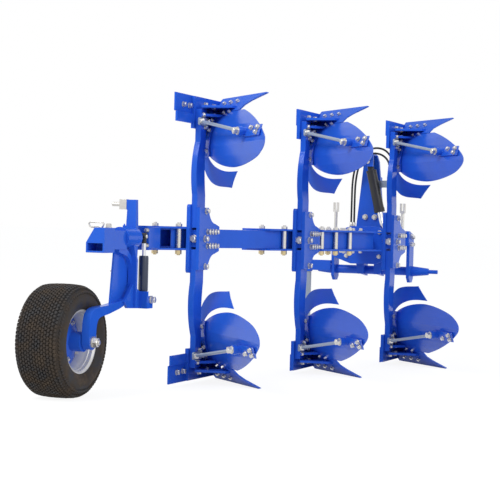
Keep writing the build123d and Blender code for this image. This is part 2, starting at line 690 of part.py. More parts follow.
tube = rod(on_cylinder(64), on_cylinder(366), CYL_D)
tube = tube + rod(on_cylinder(20), on_cylinder(66), 46.0) + eye_at(on_cylinder(0))
tube = tube - rod((CYL_X - 30, 0, cylinder_z), (CYL_X + 30, 0, cylinder_z), CYL_PIN_D + 2 * FIT)
add("cylinder_tube", tube - rod(on_cylinder(80), on_cylinder(370), ROD_D + 2 * FIT))
x, y, z = on_cylinder(reach)
piston_rod = rod(on_cylinder(230), on_cylinder(reach - 20), ROD_D) + eye_at((x, y, z))
add("cylinder_rod", piston_rod + rod((x - 22, y, z), (x + 28, y, z), CRANK_PIN_D))

# Valve block and tilt spindles
valve = block((372, 450), (-196, -142), raised((VALVE_TOP - 100, VALVE_TOP)))
add("valve_block", valve + block((449, tower_back), (-186, -50), raised((380, 430))))
spindles = []
for y in (-248.0, 248.0):
    x = 430.0
    shelf = block((404, tower_back), (y - 24, y + 24), raised((60, 74)))
    screw = rod((x, y, AXIS_H + 70), (x, y, AXIS_H + 205), 24.0)
    fork = block((x - 17, x + 17), (y - 17, y + 17), raised((200, 268)))
    slot = block((x - 20, x + 20), (y - 8, y + 8), raised((216, 270)))
    spindles.append(shelf + screw + (fork - slot))
add("tilt_spindles", Compound(children=spindles))

# Hoses from the headstock's cross beam, over the cylinder, to the valve block


def hose(route):
    """Round hose along a route of straight runs joined by tangent arcs."""
    points = [Vector(x, y, AXIS_H + z) for x, y, z in route]
    radii = []
    for a, b, c in zip(points, points[1:], points[2:]):
        bend = radians((b - a).get_angle(c - b))
        radii.append(0.45 * min((b - a).length, (c - b).length) / tan(bend / 2))
    path = FilletPolyline(*points, radius=radii)
    print("hose radii", [round(r) for r in radii], "length", round(path.length))
    plane = Plane(origin=points[0], z_dir=points[1] - points[0])
    return sweep(plane * Circle(HOSE_D / 2), path=path)


fittings = []
for name, route in HOSE_ROUTES.items():
    add(name, hose(route))
    for (x, y, z), seat in ((route[0], ARM_TOP), (route[-1], VALVE_TOP)):
        fittings.append(rod((x, y, AXIS_H + seat + FIT), (x, y, AXIS_H + z), FITTING_D))
add("hose_fittings", Compound(children=fittings))

# Wheel pivot with the posts of the stop screws
solids = [rod((-2200, PIVOT_Y, AXIS_H), (PIVOT_BACK, PIVOT_Y, AXIS_H), PIVOT_D),
          rod((POST_X - 18, PIVOT_Y, AXIS_H), (POST_X + 38, PIVOT_Y, AXIS_H), 112.0)]
stops = []
for s in (-1, 1):
    outline = ((-32, 30), (32, 30), (26, 150), (30, 156), (30, 208), (-26, 208))
    post = cross_plate([(PIVOT_Y + y, AXIS_H + s * z) for y, z in outline], POST_X, POST_THICK)
    solids.append(post)
    z = s * STOP_H
    nut = block((POST_X, POST_X + POST_THICK), (PIVOT_Y + 30 + FIT, PIVOT_Y + 74), raised((z - 28, z + 28)))
    x = POST_X + POST_THICK / 2
    stops.append(nut + rod((x, PIVOT_Y + 70, AXIS_H + z), (x, PIVOT_Y + 122, AXIS_H + z), 24.0))
add("wheel_pivot", joined(solids))
add("stop_screws", Compound(children=stops))

# Wheel arm: knuckle, neck, curved bar down to the axle, gusset and damper clevis
axle_z = AXIS_H - AXLE_DROP
foot_r = 39.0
bow_in = ((-2560, -96), (-2484, -215), (-2584, -332))
bow_out = ((-2560, -62), (-2456, -215), (-2572, -364))
upper_line = (
    (-2584, -332), (-2700, -352), (-2810, -360), (WHEEL_X - 14, -392),
    (WHEEL_X - foot_r, 60 - AXLE_DROP), (WHEEL_X - foot_r, -AXLE_DROP))
lower_line = (
    (WHEEL_X + foot_r, -AXLE_DROP), (WHEEL_X + foot_r, 60 - AXLE_DROP), (WHEEL_X + 56, -432),
    (-2790, -408), (-2690, -392), (-2572, -364))


def arm_points(points):
    """Arm points with heights from the axis as heights above the floor."""
    return [(x, AXIS_H + z) for x, z in points]


bow = side_face([
    ThreePointArc(*arm_points(bow_in)),
    Spline(*arm_points(upper_line)),
    ThreePointArc((WHEEL_X - foot_r, axle_z), (WHEEL_X, axle_z - foot_r), (WHEEL_X + foot_r, axle_z)),
    Spline(*arm_points(lower_line)),
    ThreePointArc(*reversed(arm_points(bow_out))),
    Polyline(*arm_points((bow_out[0], (-2560, -40), (-2650, -40), (-2650, -78), bow_in[0]))),
], BOW_Y[0], BOW_Y[1] - BOW_Y[0])
web_outline = ((-2650, -70), (-2560, -80), (-2472, -215), (-2570, -348), (-2690, -370))
web = side_plate(arm_points(web_outline), BOW_Y[0] + 26, 12.0)
gusset = cross_plate(
    ((DAMPER_Y - 14, AXIS_H - 372), (BOW_Y[0] + 20, AXIS_H - 372), (BOW_Y[0] + 20, AXIS_H - 40),
     (DAMPER_Y + 4, AXIS_H - 40), (DAMPER_Y - 14, AXIS_H - 120)), -2498, 18.0)
lug_outline = ((-2600, -345), (-2500, -250), (-2420, -292), (-2420, -386), (-2560, -380))
lug = side_plate(arm_points(lug_outline), BOW_Y[0] - 14, 16.0)
clevis_half = DAMPER_D / 2 + 9
clevis_right = DAMPER_Y - clevis_half - 12
clevis = block((-2426, -2408), (clevis_right, DAMPER_Y + clevis_half + 12), raised((-386, -292)))
for y in (clevis_right, DAMPER_Y + clevis_half):
    clevis = clevis + block((-2410, -2352), (y, y + 12), raised((-386, -318)))
knuckle = rod((KNUCKLE_X[0], PIVOT_Y, AXIS_H), (KNUCKLE_X[1], PIVOT_Y, AXIS_H), KNUCKLE_D)
neck = block((SOCKET_X[1] + FIT, KNUCKLE_X[0] + 5), (SOCKET_Y + 12, SOCKET_Y + 74), raised((-62, 38)))
axle = rod((WHEEL_X, BOW_Y[1] - 2, axle_z), (WHEEL_X, WHEEL_Y + 20, axle_z), AXLE_D)
arm = joined([knuckle, neck, bow, web, gusset, lug, clevis, axle])
bore = rod((KNUCKLE_X[0] - 5, PIVOT_Y, AXIS_H), (KNUCKLE_X[1] + 5, PIVOT_Y, AXIS_H), PIVOT_D + 2 * RUN)
add("wheel_arm", arm - bore)

# Socket for a scraper, open to the rear
outline = ((0, -80), (108, -80), (108, -26), (60, 52), (0, 52))
socket = cross_plate(
    [(SOCKET_Y + y, AXIS_H + z) for y, z in outline], SOCKET_X[0], SOCKET_X[1] - SOCKET_X[0])
mouth = block((SOCKET_X[0] - 1, SOCKET_X[1] - 18), (SOCKET_Y + 10, SOCKET_Y + 98), raised((-70, -30)))
add("arm_socket", socket - mouth)

# Damper between the rear console and the arm's clevis
damper = rod((DAMPER_X, DAMPER_Y, AXIS_H - 296), (DAMPER_X, DAMPER_Y, AXIS_H - 98), DAMPER_D)
damper = damper + rod((DAMPER_X, DAMPER_Y, AXIS_H - 100), (DAMPER_X, DAMPER_Y, AXIS_H + 2), 24.0)
for z in (AXIS_H - 338, AXIS_H + 8):
    damper = damper + rod((DAMPER_X, DAMPER_Y - 12, z), (DAMPER_X, DAMPER_Y + 12, z), DAMPER_EYE_D)
damper = damper + rod((DAMPER_X, DAMPER_Y, AXIS_H - 336), (DAMPER_X, DAMPER_Y, AXIS_H - 290), 30.0)
clevis_bolt = (DAMPER_Y - clevis_half + FIT, DAMPER_Y + clevis_half - FIT)
damper = damper + rod(
    (DAMPER_X, clevis_bolt[0], AXIS_H - 338), (DAMPER_X, clevis_bolt[1], AXIS_H - 338), BOLT_D)
add("damper", damper)

# Depth wheel
half = TYRE_W / 2
bead = RIM_R - 8
side = RIM_R + 40
crown = TYRE_R - 4
tyre_profile = Plane.YZ * make_face([
    Polyline((-half + 25, bead), (-half, side)),
    ThreePointArc((-half, side), (-half + 8, TYRE_R - 40), (-half + 44, crown)),
    Polyline((-half + 44, crown), (0, TYRE_R), (half - 44, crown)),
    ThreePointArc((half - 44, crown), (half - 8, TYRE_R - 40), (half, side)),
    Polyline((half, side), (half - 25, bead), (-half + 25, bead)),
])
wheel_at = Pos(WHEEL_X, WHEEL_Y, axle_z)
add("tyre", wheel_at * revolve(tyre_profile, axis=Axis.Y))
rim_in = bead - FIT - RIM_WALL
add("wheel_rim", wheel_at * rod((0, -RIM_W / 2, 0), (0, RIM_W / 2, 0), 2 * (bead - FIT), 2 * rim_in))
hub_in = AXLE_D / 2 + RUN
hub_out = HUB_D / 2
hub_end = WHEEL_Y - BOW_Y[1] - 6
disc_out = rim_in - FIT
disc_profile = Plane.YZ * make_face(Polyline(
    (-hub_end, hub_in), (-hub_end, hub_out), (-64, hub_out), (-14, disc_out), (-14 + DISC_WALL, disc_out),
    (-64 + DISC_WALL * 2, hub_out), (34, hub_out), (34, hub_in), close=True))
add("wheel_disc", wheel_at * revolve(disc_profile, axis=Axis.Y))

# The finished model stands on the floor with its origin below the middle of its box
rigid = [solid.bounding_box() for name, solid in parts.items() if name not in HOSE_ROUTES]
low = [min(getattr(box.min, axis) for box in rigid) for axis in "XYZ"]
high = [max(getattr(box.max, axis) for box in rigid) for axis in "XYZ"]
ORIGIN = ((low[0] + high[0]) / 2, (low[1] + high[1]) / 2, low[2])
print("origin", ORIGIN, "size", [b - a for a, b in zip(low, high)])

os.makedirs("parts", exist_ok=True)
for name, solid in parts.items():
    export_step(Pos(-ORIGIN[0], -ORIGIN[1], -ORIGIN[2]) * solid, "parts/" + name + ".step")
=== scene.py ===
"""Studio scene of a fully mounted reversible moldboard plough with a swinging depth wheel."""
import json
import logging
import math
import random
from dataclasses import dataclass, field
from enum import Enum
from typing import Callable, Sequence

import bmesh
import bpy
from mathutils import Matrix, Vector


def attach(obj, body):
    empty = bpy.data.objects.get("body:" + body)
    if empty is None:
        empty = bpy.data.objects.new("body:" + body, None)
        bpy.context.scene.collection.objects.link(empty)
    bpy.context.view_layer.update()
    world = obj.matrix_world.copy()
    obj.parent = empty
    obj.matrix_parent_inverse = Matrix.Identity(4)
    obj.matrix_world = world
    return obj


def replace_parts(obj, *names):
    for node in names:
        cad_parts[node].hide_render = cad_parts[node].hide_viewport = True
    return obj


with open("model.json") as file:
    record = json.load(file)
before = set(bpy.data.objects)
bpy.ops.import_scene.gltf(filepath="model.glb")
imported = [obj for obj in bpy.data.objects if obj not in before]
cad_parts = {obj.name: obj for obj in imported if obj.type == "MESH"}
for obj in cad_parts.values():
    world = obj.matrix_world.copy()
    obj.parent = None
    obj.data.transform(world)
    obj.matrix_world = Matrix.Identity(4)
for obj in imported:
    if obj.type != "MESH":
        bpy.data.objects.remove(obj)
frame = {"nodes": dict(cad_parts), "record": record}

logging.basicConfig(level=logging.INFO, format="%(message)s")
log = logging.getLogger("plough")
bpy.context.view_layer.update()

Colour = tuple[float, float, float]
Point = tuple[float, float, float]
Pairs = Sequence[tuple[float, float]]
Profile = Pairs
Socket = bpy.types.NodeSocket
Value = Socket | float | str | tuple[float, ...]

# Directions

AHEAD: Point = (1, 0, 0)
ASTERN: Point = (-1, 0, 0)
LEFT: Point = (0, 1, 0)
RIGHT: Point = (0, -1, 0)
UP: Point = (0, 0, 1)
DOWN: Point = (0, 0, -1)

# Places of the part's drawing, in millimetres

# Height of the turnover axis over the floor
AXIS = 840.0
# From the drawing's origin to the row frame's
SHIFT = (1312.0, 87.48160886520128, 0.0)
# Front face of the headstock's tower
TOWER_FRONT = 480.0
# Rear face of the flange on the turnover shaft
SHAFT_FLANGE = 129.5
# Middle plane of the wheel arm's pivot
PIVOT_Y = 471.0
# Radius of a weld bead, and the distance between its ripples
BEAD_R = 4.0
# Where each pair of bodies has its leg
STATIONS: dict[str, tuple[float, float]] = {
    "front": (0.0, -292.0),
    "middle": (-954.0, 8.0),
    "rear": (-1908.0, 308.0),
}


def place(x: float, y: float, z: float) -> Vector:
    """A point of the part's drawing, in millimetres, as a point of the row frame, in metres."""
    return Vector((x + SHIFT[0], y + SHIFT[1], z + SHIFT[2])) / 1000.0


def node(name: str) -> bpy.types.Object:
    """The CAD node of that name."""
    return frame["nodes"][name]


def body_of(name: str) -> str:
    """The CAD body that a node belongs to."""
    for body, names in frame["record"]["behaviour"]["bodies"].items():
        if name in names:
            return body
    raise KeyError(name)


# Node trees


class Graph:
    """A node tree that is being built."""

    def __init__(self, tree: bpy.types.NodeTree) -> None:
        """Takes the tree to build in, and empties it."""
        self.tree = tree
        tree.nodes.clear()

    def add(self, kind: str, inputs: dict[str | int, Value] | None = None,
            **settings: str | int | bpy.types.ID) -> bpy.types.Node:
        """Adds a node.

        Args:
            kind: the node's type.
            inputs: by input, the socket that is joined to it or the value that it takes.
            settings: the node's own settings, made before its inputs.

        Returns:
            The new node.
        """
        added = self.tree.nodes.new(kind)
        for name, setting in settings.items():
            setattr(added, name, setting)
        for label, value in (inputs or {}).items():
            if isinstance(value, Socket):
                self.tree.links.new(value, added.inputs[label])
            else:
                added.inputs[label].default_value = value
        return added

    def socket(self, label: str, kind: str, way: str = "INPUT") -> bpy.types.NodeTreeInterfaceSocket:
        """Gives the tree an input or an output."""
        return self.tree.interface.new_socket(label, in_out=way, socket_type="NodeSocket" + kind)

    def calc(self, operation: str, a: Value, b: Value, **settings: bool) -> Socket:
        """Brings two numbers together."""
        return self.add("ShaderNodeMath", {0: a, 1: b}, operation=operation, **settings).outputs[0]

    def stretch(self, value: Socket, low: Value, high: Value, to: tuple[float, float] = (0.0, 1.0)) -> Socket:
        """Stretches a number from the span of low and high to another span, and holds it there."""
        spans = {"Value": value, "From Min": low, "From Max": high, "To Min": to[0], "To Max": to[1]}
        return self.add("ShaderNodeMapRange", spans).outputs[0]

    def noise(self, scale: Value, detail: float, roughness: float = 0.5) -> Socket:
        """Noise that is fixed to the object."""
        spot = self.add("ShaderNodeTexCoord").outputs["Object"]
        grain = {"Vector": spot, "Scale": scale, "Detail": detail, "Roughness": roughness}
        return self.add("ShaderNodeTexNoise", grain).outputs[0]

    def mix(self, factor: Socket, a: Value, b: Value) -> Socket:
        """Mixes two colours, each a socket or three numbers, by a factor."""
        low, high = (value if isinstance(value, Socket) else (*value, 1.0) for value in (a, b))
        return self.add("ShaderNodeMix", {"Factor": factor, 6: low, 7: high}, data_type="RGBA").outputs[2]


class ShaderGroup(Graph):
    """A shader node group with named numbers in and one value out."""

    def __init__(self, name: str, numbers: dict[str, float], output: str) -> None:
        """Starts the group.

        Args:
            name: the group's name.
            numbers: its inputs, each with its default.
            output: the name of its output.
        """
        super().__init__(bpy.data.node_groups.new(name, "ShaderNodeTree"))
        for label, default in numbers.items():
            self.socket(label, "Float").default_value = default
        self.socket(output, "Float", "OUTPUT")
        self.source = self.add("NodeGroupInput").outputs

    def end(self, value: Socket) -> bpy.types.NodeTree:
        """Puts the value out and gives the finished group."""
        self.add("NodeGroupOutput", {0: value})
        return self.tree


# Finishes


class Tone(Enum):
    """Base colours of the plough's finishes, linear."""

    BLUE = (0.024, 0.136, 0.750)
    # Painted highlight: a lighter blue that the blue paints show on their convex edges, where light catches
    # them
    EDGE_HIGHLIGHT_BLUE = (0.08, 0.24, 0.88)
    PALE_GREY = (0.36, 0.43, 0.52)
    DARK_BLUE = (0.020, 0.034, 0.075)
    BLACK = (0.012, 0.012, 0.014)
    GOLD_ZINC = (0.74, 0.60, 0.34)
    SILVER_ZINC = (0.72, 0.70, 0.66)
    CHROME = (0.80, 0.81, 0.83)
    SILVER = (0.80, 0.78, 0.73)
    RUBBER = (0.020, 0.019, 0.021)
    BARE_STEEL = (0.42, 0.40, 0.38)
    DUST = (0.27, 0.20, 0.13)
    PALE_DUST = (0.40, 0.34, 0.26)
    TYRE_DUST = (0.115, 0.080, 0.050)


class ShaderKit:
    """Shader node groups that several finishes share, built once."""

    def __init__(self) -> None:
        """Builds the three groups."""
        self.edge = self._edge_wear_and_highlight()
        self.dust = self._dust()
        self.mottle = self._mottle()

    @staticmethod
    def _edge_wear_and_highlight() -> bpy.types.NodeTree:
        """A mask that is 1 on broken convex edges, where paint wears through to bare steel or where the blue
        paints take a painted highlight.
        """
        group = ShaderGroup("EdgeWearAndHighlight", {"Width": 0.004, "Break Up": 60.0, "Amount": 0.5}, "Mask")
        rounded = group.add("ShaderNodeBevel", {"Radius": group.source["Width"]}, samples=4).outputs[0]
        normal = group.add("ShaderNodeNewGeometry").outputs["Normal"]
        dot = group.add("ShaderNodeVectorMath", {0: rounded, 1: normal}, operation="DOT_PRODUCT")
        rim = group.stretch(dot.outputs["Value"], 0.985, 0.86)
        patchy = group.stretch(group.noise(group.source["Break Up"], 5.0), 0.42, 0.62)
        wear_and_highlight_mask = group.calc("MULTIPLY", rim, patchy)
        return group.end(group.calc("MULTIPLY", wear_and_highlight_mask, group.source["Amount"]))

    @staticmethod
    def _dust() -> bpy.types.NodeTree:
        """A mask of dust that lies on upward faces and is splashed up from the ground."""
        group = ShaderGroup("Dust", {"Scale": 9.0, "Top": 0.3, "Low": 0.3, "Reach": 0.5}, "Mask")
        grain = group.stretch(group.noise(group.source["Scale"], 7.0, 0.62), 0.38, 0.68)
        normal = group.add("ShaderNodeNewGeometry").outputs["Normal"]
        facing = group.add("ShaderNodeSeparateXYZ", {0: normal}).outputs["Z"]
        top = group.calc("MULTIPLY", group.stretch(facing, 0.3, 1.0), group.source["Top"])
        spot = group.add("ShaderNodeTexCoord").outputs["Object"]
        height = group.add("ShaderNodeSeparateXYZ", {0: spot}).outputs["Z"]
        near = group.stretch(height, 0.0, group.source["Reach"], (1.0, 0.0))
        low = group.calc("MULTIPLY", near, group.source["Low"])
        return group.end(group.calc("MULTIPLY", group.calc("ADD", top, low), grain, use_clamp=True))

    @staticmethod
    def _mottle() -> bpy.types.NodeTree:
        """A slow, cloudy value from 0 to 1 for colour and gloss variation."""
        group = ShaderGroup("Mottle", {"Scale": 6.0, "Fine": 90.0}, "Value")
        slow = group.noise(group.source["Scale"], 4.0)
        fine = group.noise(group.source["Fine"], 3.0)
        both = group.add("ShaderNodeMix", {"Factor": 0.3, "A": slow, "B": fine}).outputs["Result"]
        return group.end(group.stretch(both, 0.3, 0.7))


@dataclass(frozen=True)
class Finish:
    """One procedural finish: a coat over a base, marked at its edges with worn paint or a painted highlight,
    and dusted.

    Attributes:
        name: the material's name.
        tone: its base colour.
        shade: the base colour's darker cloud, as a share of the tone.
        rough: lowest and highest roughness.
        metallic: how metallic the coat is.
        coat: clear coat weight.
        specular: how strongly the base itself reflects.
        wear_and_highlight: amount of the edge mark, which is worn paint or, on the blue paints, a painted
            highlight.
        wear_and_highlight_tone: the colour that the edge mark shows: bare steel where paint is worn, a
            lighter blue where a highlight is painted.
        dust: share of dust on top faces, low down, and how high the low part reaches, in metres.
        dust_tone: the dust's colour.
        bump: scale of the fine surface grain and its strength.
    """

    name: str
    tone: Tone
    shade: float = 0.8
    rough: tuple[float, float] = (0.28, 0.42)
    metallic: float = 0.0
    coat: float = 0.0
    specular: float = 0.5
    wear_and_highlight: float = 0.0
    wear_and_highlight_tone: Tone = Tone.BARE_STEEL
    dust: tuple[float, float, float] = (0.0, 0.0, 0.5)
    dust_tone: Tone = Tone.DUST
    bump: tuple[float, float] = (220.0, 0.04)

    def build(self, kit: ShaderKit) -> bpy.types.Material:
        """Builds the material.

        Args:
            kit: the shared shader groups.

        Returns:
            The finished material.
        """
        material = bpy.data.materials.new(self.name)
        material.use_nodes = True
        graph = Graph(material.node_tree)
        tone = self.tone.value
        cloud = tuple(c * self.shade for c in tone)
        mottle = graph.add("ShaderNodeGroup", {"Scale": 5.0, "Fine": 120.0}, node_tree=kit.mottle).outputs[0]
        base = graph.mix(mottle, cloud, tone)
        rough = graph.stretch(mottle, 0.0, 1.0, self.rough)
        # Convex edges take the edge tone: bare steel as real wear, or a lighter blue as a painted highlight
        if self.wear_and_highlight:
            edges = {"Width": 0.004, "Break Up": 45.0, "Amount": self.wear_and_highlight}
            wear_and_highlight_mask = graph.add("ShaderNodeGroup", edges, node_tree=kit.edge).outputs[0]
            base = graph.mix(wear_and_highlight_mask, base, self.wear_and_highlight_tone.value)
        if self.dust[0] or self.dust[1]:
            fall = {"Scale": 14.0, "Top": self.dust[0], "Low": self.dust[1], "Reach": self.dust[2]}
            dust = graph.add("ShaderNodeGroup", fall, node_tree=kit.dust).outputs[0]
            base = graph.mix(dust, base, self.dust_tone.value)
            rough = graph.calc("ADD", rough, dust, use_clamp=True)
        relief = {"Strength": self.bump[1], "Distance": 0.002, "Height": graph.noise(self.bump[0], 2.0)}
        shader = graph.add("ShaderNodeBsdfPrincipled", {
            "Base Color": base,
            "Roughness": rough,
            "Normal": graph.add("ShaderNodeBump", relief).outputs[0],
            "Metallic": self.metallic,
            "Coat Weight": self.coat,
            "Coat Roughness": 0.08,
            "Specular IOR Level": self.specular,
        })
        graph.add("ShaderNodeOutputMaterial", {"Surface": shader.outputs[0]})
        return material


FINISHES: tuple[Finish, ...] = (
    # The blue paints carry a painted highlight of lighter blue on their convex edges, through the edge mask
    Finish("blue_paint", Tone.BLUE, 0.86, (0.17, 0.26), coat=0.06, specular=0.13, wear_and_highlight=0.35,
           wear_and_highlight_tone=Tone.EDGE_HIGHLIGHT_BLUE, dust=(0.03, 0.06, 0.3)),
    Finish("satin_blue_paint", Tone.BLUE, 0.84, (0.42, 0.55), specular=0.06, wear_and_highlight=0.35,
           wear_and_highlight_tone=Tone.EDGE_HIGHLIGHT_BLUE, dust=(0.02, 0.05, 0.3)),
    Finish("pale_grey_paint", Tone.PALE_GREY, 0.85, (0.30, 0.45), coat=0.2, wear_and_highlight=0.3),
    Finish("dark_blue_paint", Tone.DARK_BLUE, 0.8, (0.25, 0.4), coat=0.3),
    Finish("black_paint", Tone.BLACK, 0.8, (0.3, 0.5)),
    Finish("gold_zinc", Tone.GOLD_ZINC, 0.8, (0.22, 0.42), metallic=0.85, bump=(300.0, 0.08)),
    Finish("silver_zinc", Tone.SILVER_ZINC, 0.8, (0.22, 0.42), metallic=0.9, bump=(300.0, 0.08)),
    Finish("chrome", Tone.CHROME, 0.95, (0.05, 0.12), metallic=1.0, bump=(400.0, 0.01)),
    Finish("silver_paint", Tone.SILVER, 0.9, (0.30, 0.42), metallic=0.15, coat=0.2,
           dust=(0.12, 0.2, 0.5), dust_tone=Tone.PALE_DUST),
    Finish("hose_rubber", Tone.BLACK, 0.8, (0.35, 0.5), bump=(900.0, 0.15)),
    Finish("tyre_rubber", Tone.RUBBER, 0.7, (0.55, 0.75), dust=(0.35, 0.75, 1.1),
           dust_tone=Tone.TYRE_DUST, bump=(260.0, 0.25)),
)


class Paintshop:
    """Holds the built materials and dresses pieces with them."""

    def __init__(self) -> None:
        """Builds every finish."""
        kit = ShaderKit()
        self.materials = {finish.name: finish.build(kit) for finish in FINISHES}

    def dress(self, obj: bpy.types.Object, finish: str) -> bpy.types.Object:
        """Gives a piece one finish."""
        obj.data.materials.clear()
        obj.data.materials.append(self.materials[finish])
        return obj

    def dress_node(self, name: str, finish: str) -> None:
        """Gives a CAD node one finish in every material slot."""
        obj = node(name)
        if not obj.material_slots:
            obj.data.materials.append(self.materials[finish])
        for slot in obj.material_slots:
            slot.material = self.materials[finish]

    def make(self, name: str, bm: bmesh.types.BMesh, body: str, finish: str) -> bpy.types.Object:
        """Makes one finished piece of a bmesh."""
        return self.dress(piece(name, mesh_from(bm, name), body), finish)

    def turn(self, name: str, body: str, finish: str, forms: Sequence[Sequence]) -> bpy.types.Object:
        """Makes one finished piece of turned forms.

        Args:
            name: the piece's name.
            body: the CAD body that it moves with.
            finish: its finish.
            forms: where each form starts, its axis, its profile and its number of sides, as ring takes them.

        Returns:
            The new piece.
        """
        bm = bmesh.new()
        for form in forms:
            ring(bm, *form)
        return self.make(name, bm, body, finish)

    def repaint(self, name: str, finish: str, chosen: Callable[[Vector], bool]) -> None:
        """Gives some faces of a softened node a second finish.

        Args:
            name: the CAD node.
            finish: the second finish.
            chosen: whether the face with that middle takes it.
        """
        mesh = bpy.data.objects[name + "_dressed"].data
        mesh.materials.append(self.materials[finish])
        for polygon in mesh.polygons:
            if chosen(polygon.center):
                polygon.material_index = 1


# Mesh helpers


def linked(name: str, data: bpy.types.ID) -> bpy.types.Object:
    """A new object in the scene."""
    obj = bpy.data.objects.new(name, data)
    bpy.context.scene.collection.objects.link(obj)
    return obj


def applied(raw: bpy.types.Object) -> bpy.types.Mesh:
    """The plain mesh that an object's modifiers make; the object goes."""
    final = bpy.data.meshes.new_from_object(raw.evaluated_get(bpy.context.evaluated_depsgraph_get()))
    bpy.data.objects.remove(raw)
    return final


def piece(name: str, mesh: bpy.types.Mesh, body: str) -> bpy.types.Object:
    """Puts a mesh that is already in place into the scene and lets it ride on a body.

    Args:
        name: the piece's name.
        mesh: its mesh, in the row frame.
        body: the CAD body that it moves with.

    Returns:
        The new object.
    """
    obj = linked(name, mesh)
    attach(obj, body)
    log.info("%s rides on %s", name, body)
    return obj


def mesh_from(bm: bmesh.types.BMesh, name: str) -> bpy.types.Mesh:
    """Turns a bmesh into a mesh with outward faces, smooth where they meet at less than 35 degrees.

    Args:
        bm: the bmesh, freed here.
        name: the mesh's name.

    Returns:
        The new mesh.
    """
    bmesh.ops.remove_doubles(bm, verts=bm.verts, dist=1e-6)
    bmesh.ops.recalc_face_normals(bm, faces=bm.faces)
    mesh = bpy.data.meshes.new(name)
    bm.to_mesh(mesh)
    bm.free()
    for polygon in mesh.polygons:
        polygon.use_smooth = True
    mesh.set_sharp_from_angle(angle=math.radians(35.0))
    return mesh


def softened(name: str, width: float) -> bpy.types.Object:
    """A copy of a plate-built CAD node with its sawn edges rounded, which stands for the node.

    Args:
        name: the CAD node.
        width: how far the rounding reaches from an edge, in metres.

    Returns:
        The new piece, which rides on the node's body.
    """
    bm = bmesh.new()
    bm.from_mesh(node(name).data)
    bmesh.ops.remove_doubles(bm, verts=bm.verts, dist=1e-5)
    bmesh.ops.dissolve_limit(bm, angle_limit=math.radians(1.0), verts=bm.verts, edges=bm.edges)
    mesh = bpy.data.meshes.new(name + "_plates")
    bm.to_mesh(mesh)
    bm.free()
    for polygon in mesh.polygons:
        polygon.use_smooth = True
    raw = linked(name + "_raw", mesh)
    bevel = raw.modifiers.new("Rounding", "BEVEL")
    bevel.width = width
    bevel.segments = 2
    bevel.limit_method = "ANGLE"
    bevel.angle_limit = math.radians(32.0)
    shading = raw.modifiers.new("Shading", "WEIGHTED_NORMAL")
    shading.mode = "FACE_AREA"
    shading.weight = 90
    obj = piece(name + "_dressed", applied(raw), body_of(name))
    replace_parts(obj, name)
    return obj


def rotation_to(axis: Sequence[float]) -> Matrix:
    """A rotation that turns +Z to the given axis."""
    return Vector(axis).to_track_quat("Z", "Y").to_matrix().to_4x4()


def bar(radius: float, low: float, high: float) -> Profile:
    """The profile of a plain round bar between two heights."""
    return [(0.0, low), (radius, low), (radius, high), (0.0, high)]


def ring(bm: bmesh.types.BMesh, at: Point, axis: Sequence[float], profile: Profile, sides: int) -> None:
    """Adds a turned shape.

    Args:
        bm: the bmesh to add to.
        at: the point of the part's drawing that the profile's heights start from.
        axis: direction of the shape's axis.
        profile: (radius, height) pairs in metres, from the first to the last end of the shape.
        sides: number of steps round the axis.
    """
    turn = Matrix.Translation(place(*at)) @ rotation_to(axis)
    angles = [2 * math.pi * i / sides for i in range(sides)]
    rows = []
    for radius, height in profile:
        spots = [Vector((radius * math.cos(a), radius * math.sin(a), height)) for a in angles]
        if radius < 1e-6:
            spots = [Vector((0, 0, height))]
        rows.append([bm.verts.new(turn @ spot) for spot in spots])
    for lower, upper in zip(rows, rows[1:]):
        for i in range(sides):
            j = (i + 1) % sides
            corners = [(lower, i), (lower, j), (upper, j), (upper, i)]
            unique = list(dict.fromkeys(row[k % len(row)] for row, k in corners))
            if len(unique) > 2:
                bm.faces.new(unique)


def tube(bm: bmesh.types.BMesh, path: Sequence[Point], radius: float, sides: int,
         ripple: float = 0.0, step: float = 0.0) -> None:
    """Adds a round bar along a path.

    Args:
        bm: the bmesh to add to.
        path: points of the part's drawing, in millimetres.
        radius: the bar's radius, in millimetres.
        sides: number of steps round the bar.
        ripple: how much the radius swells and shrinks, as a share of it.
        step: distance between rings on straight runs; 0 keeps the path's own points.
    """
    points = [Vector(p) for p in path]
    if step:
        dense = [points[0]]
        for a, b in zip(points, points[1:]):
            count = max(1, int((b - a).length / step))
            dense += [a.lerp(b, (i + 1) / count) for i in range(count)]
        points = dense
    rng = random.Random(len(points))
    angles = [2 * math.pi * k / sides for k in range(sides)]
    rows = []
    for i, point in enumerate(points):
        way = (points[min(i + 1, len(points) - 1)] - points[max(i - 1, 0)]).normalized()
        side = way.orthogonal().normalized()
        other = way.cross(side)
        size = radius * (1.0 + ripple * (rng.uniform(-0.5, 0.5) + (0.5 if i % 2 else -0.5)))
        spots = [point + (side * math.cos(a) + other * math.sin(a)) * size for a in angles]
        rows.append([bm.verts.new(place(*spot)) for spot in spots])
    for lower, upper in zip(rows, rows[1:]):
        start = min(range(sides), key=lambda k: (upper[k].co - lower[0].co).length)
        for k in range(sides):
            after = (k + 1) % sides
            bm.faces.new((lower[k], lower[after], upper[(after + start) % sides], upper[(k + start) % sides]))
    bm.faces.new(rows[0])
    bm.faces.new(rows[-1])


# Repeated forms


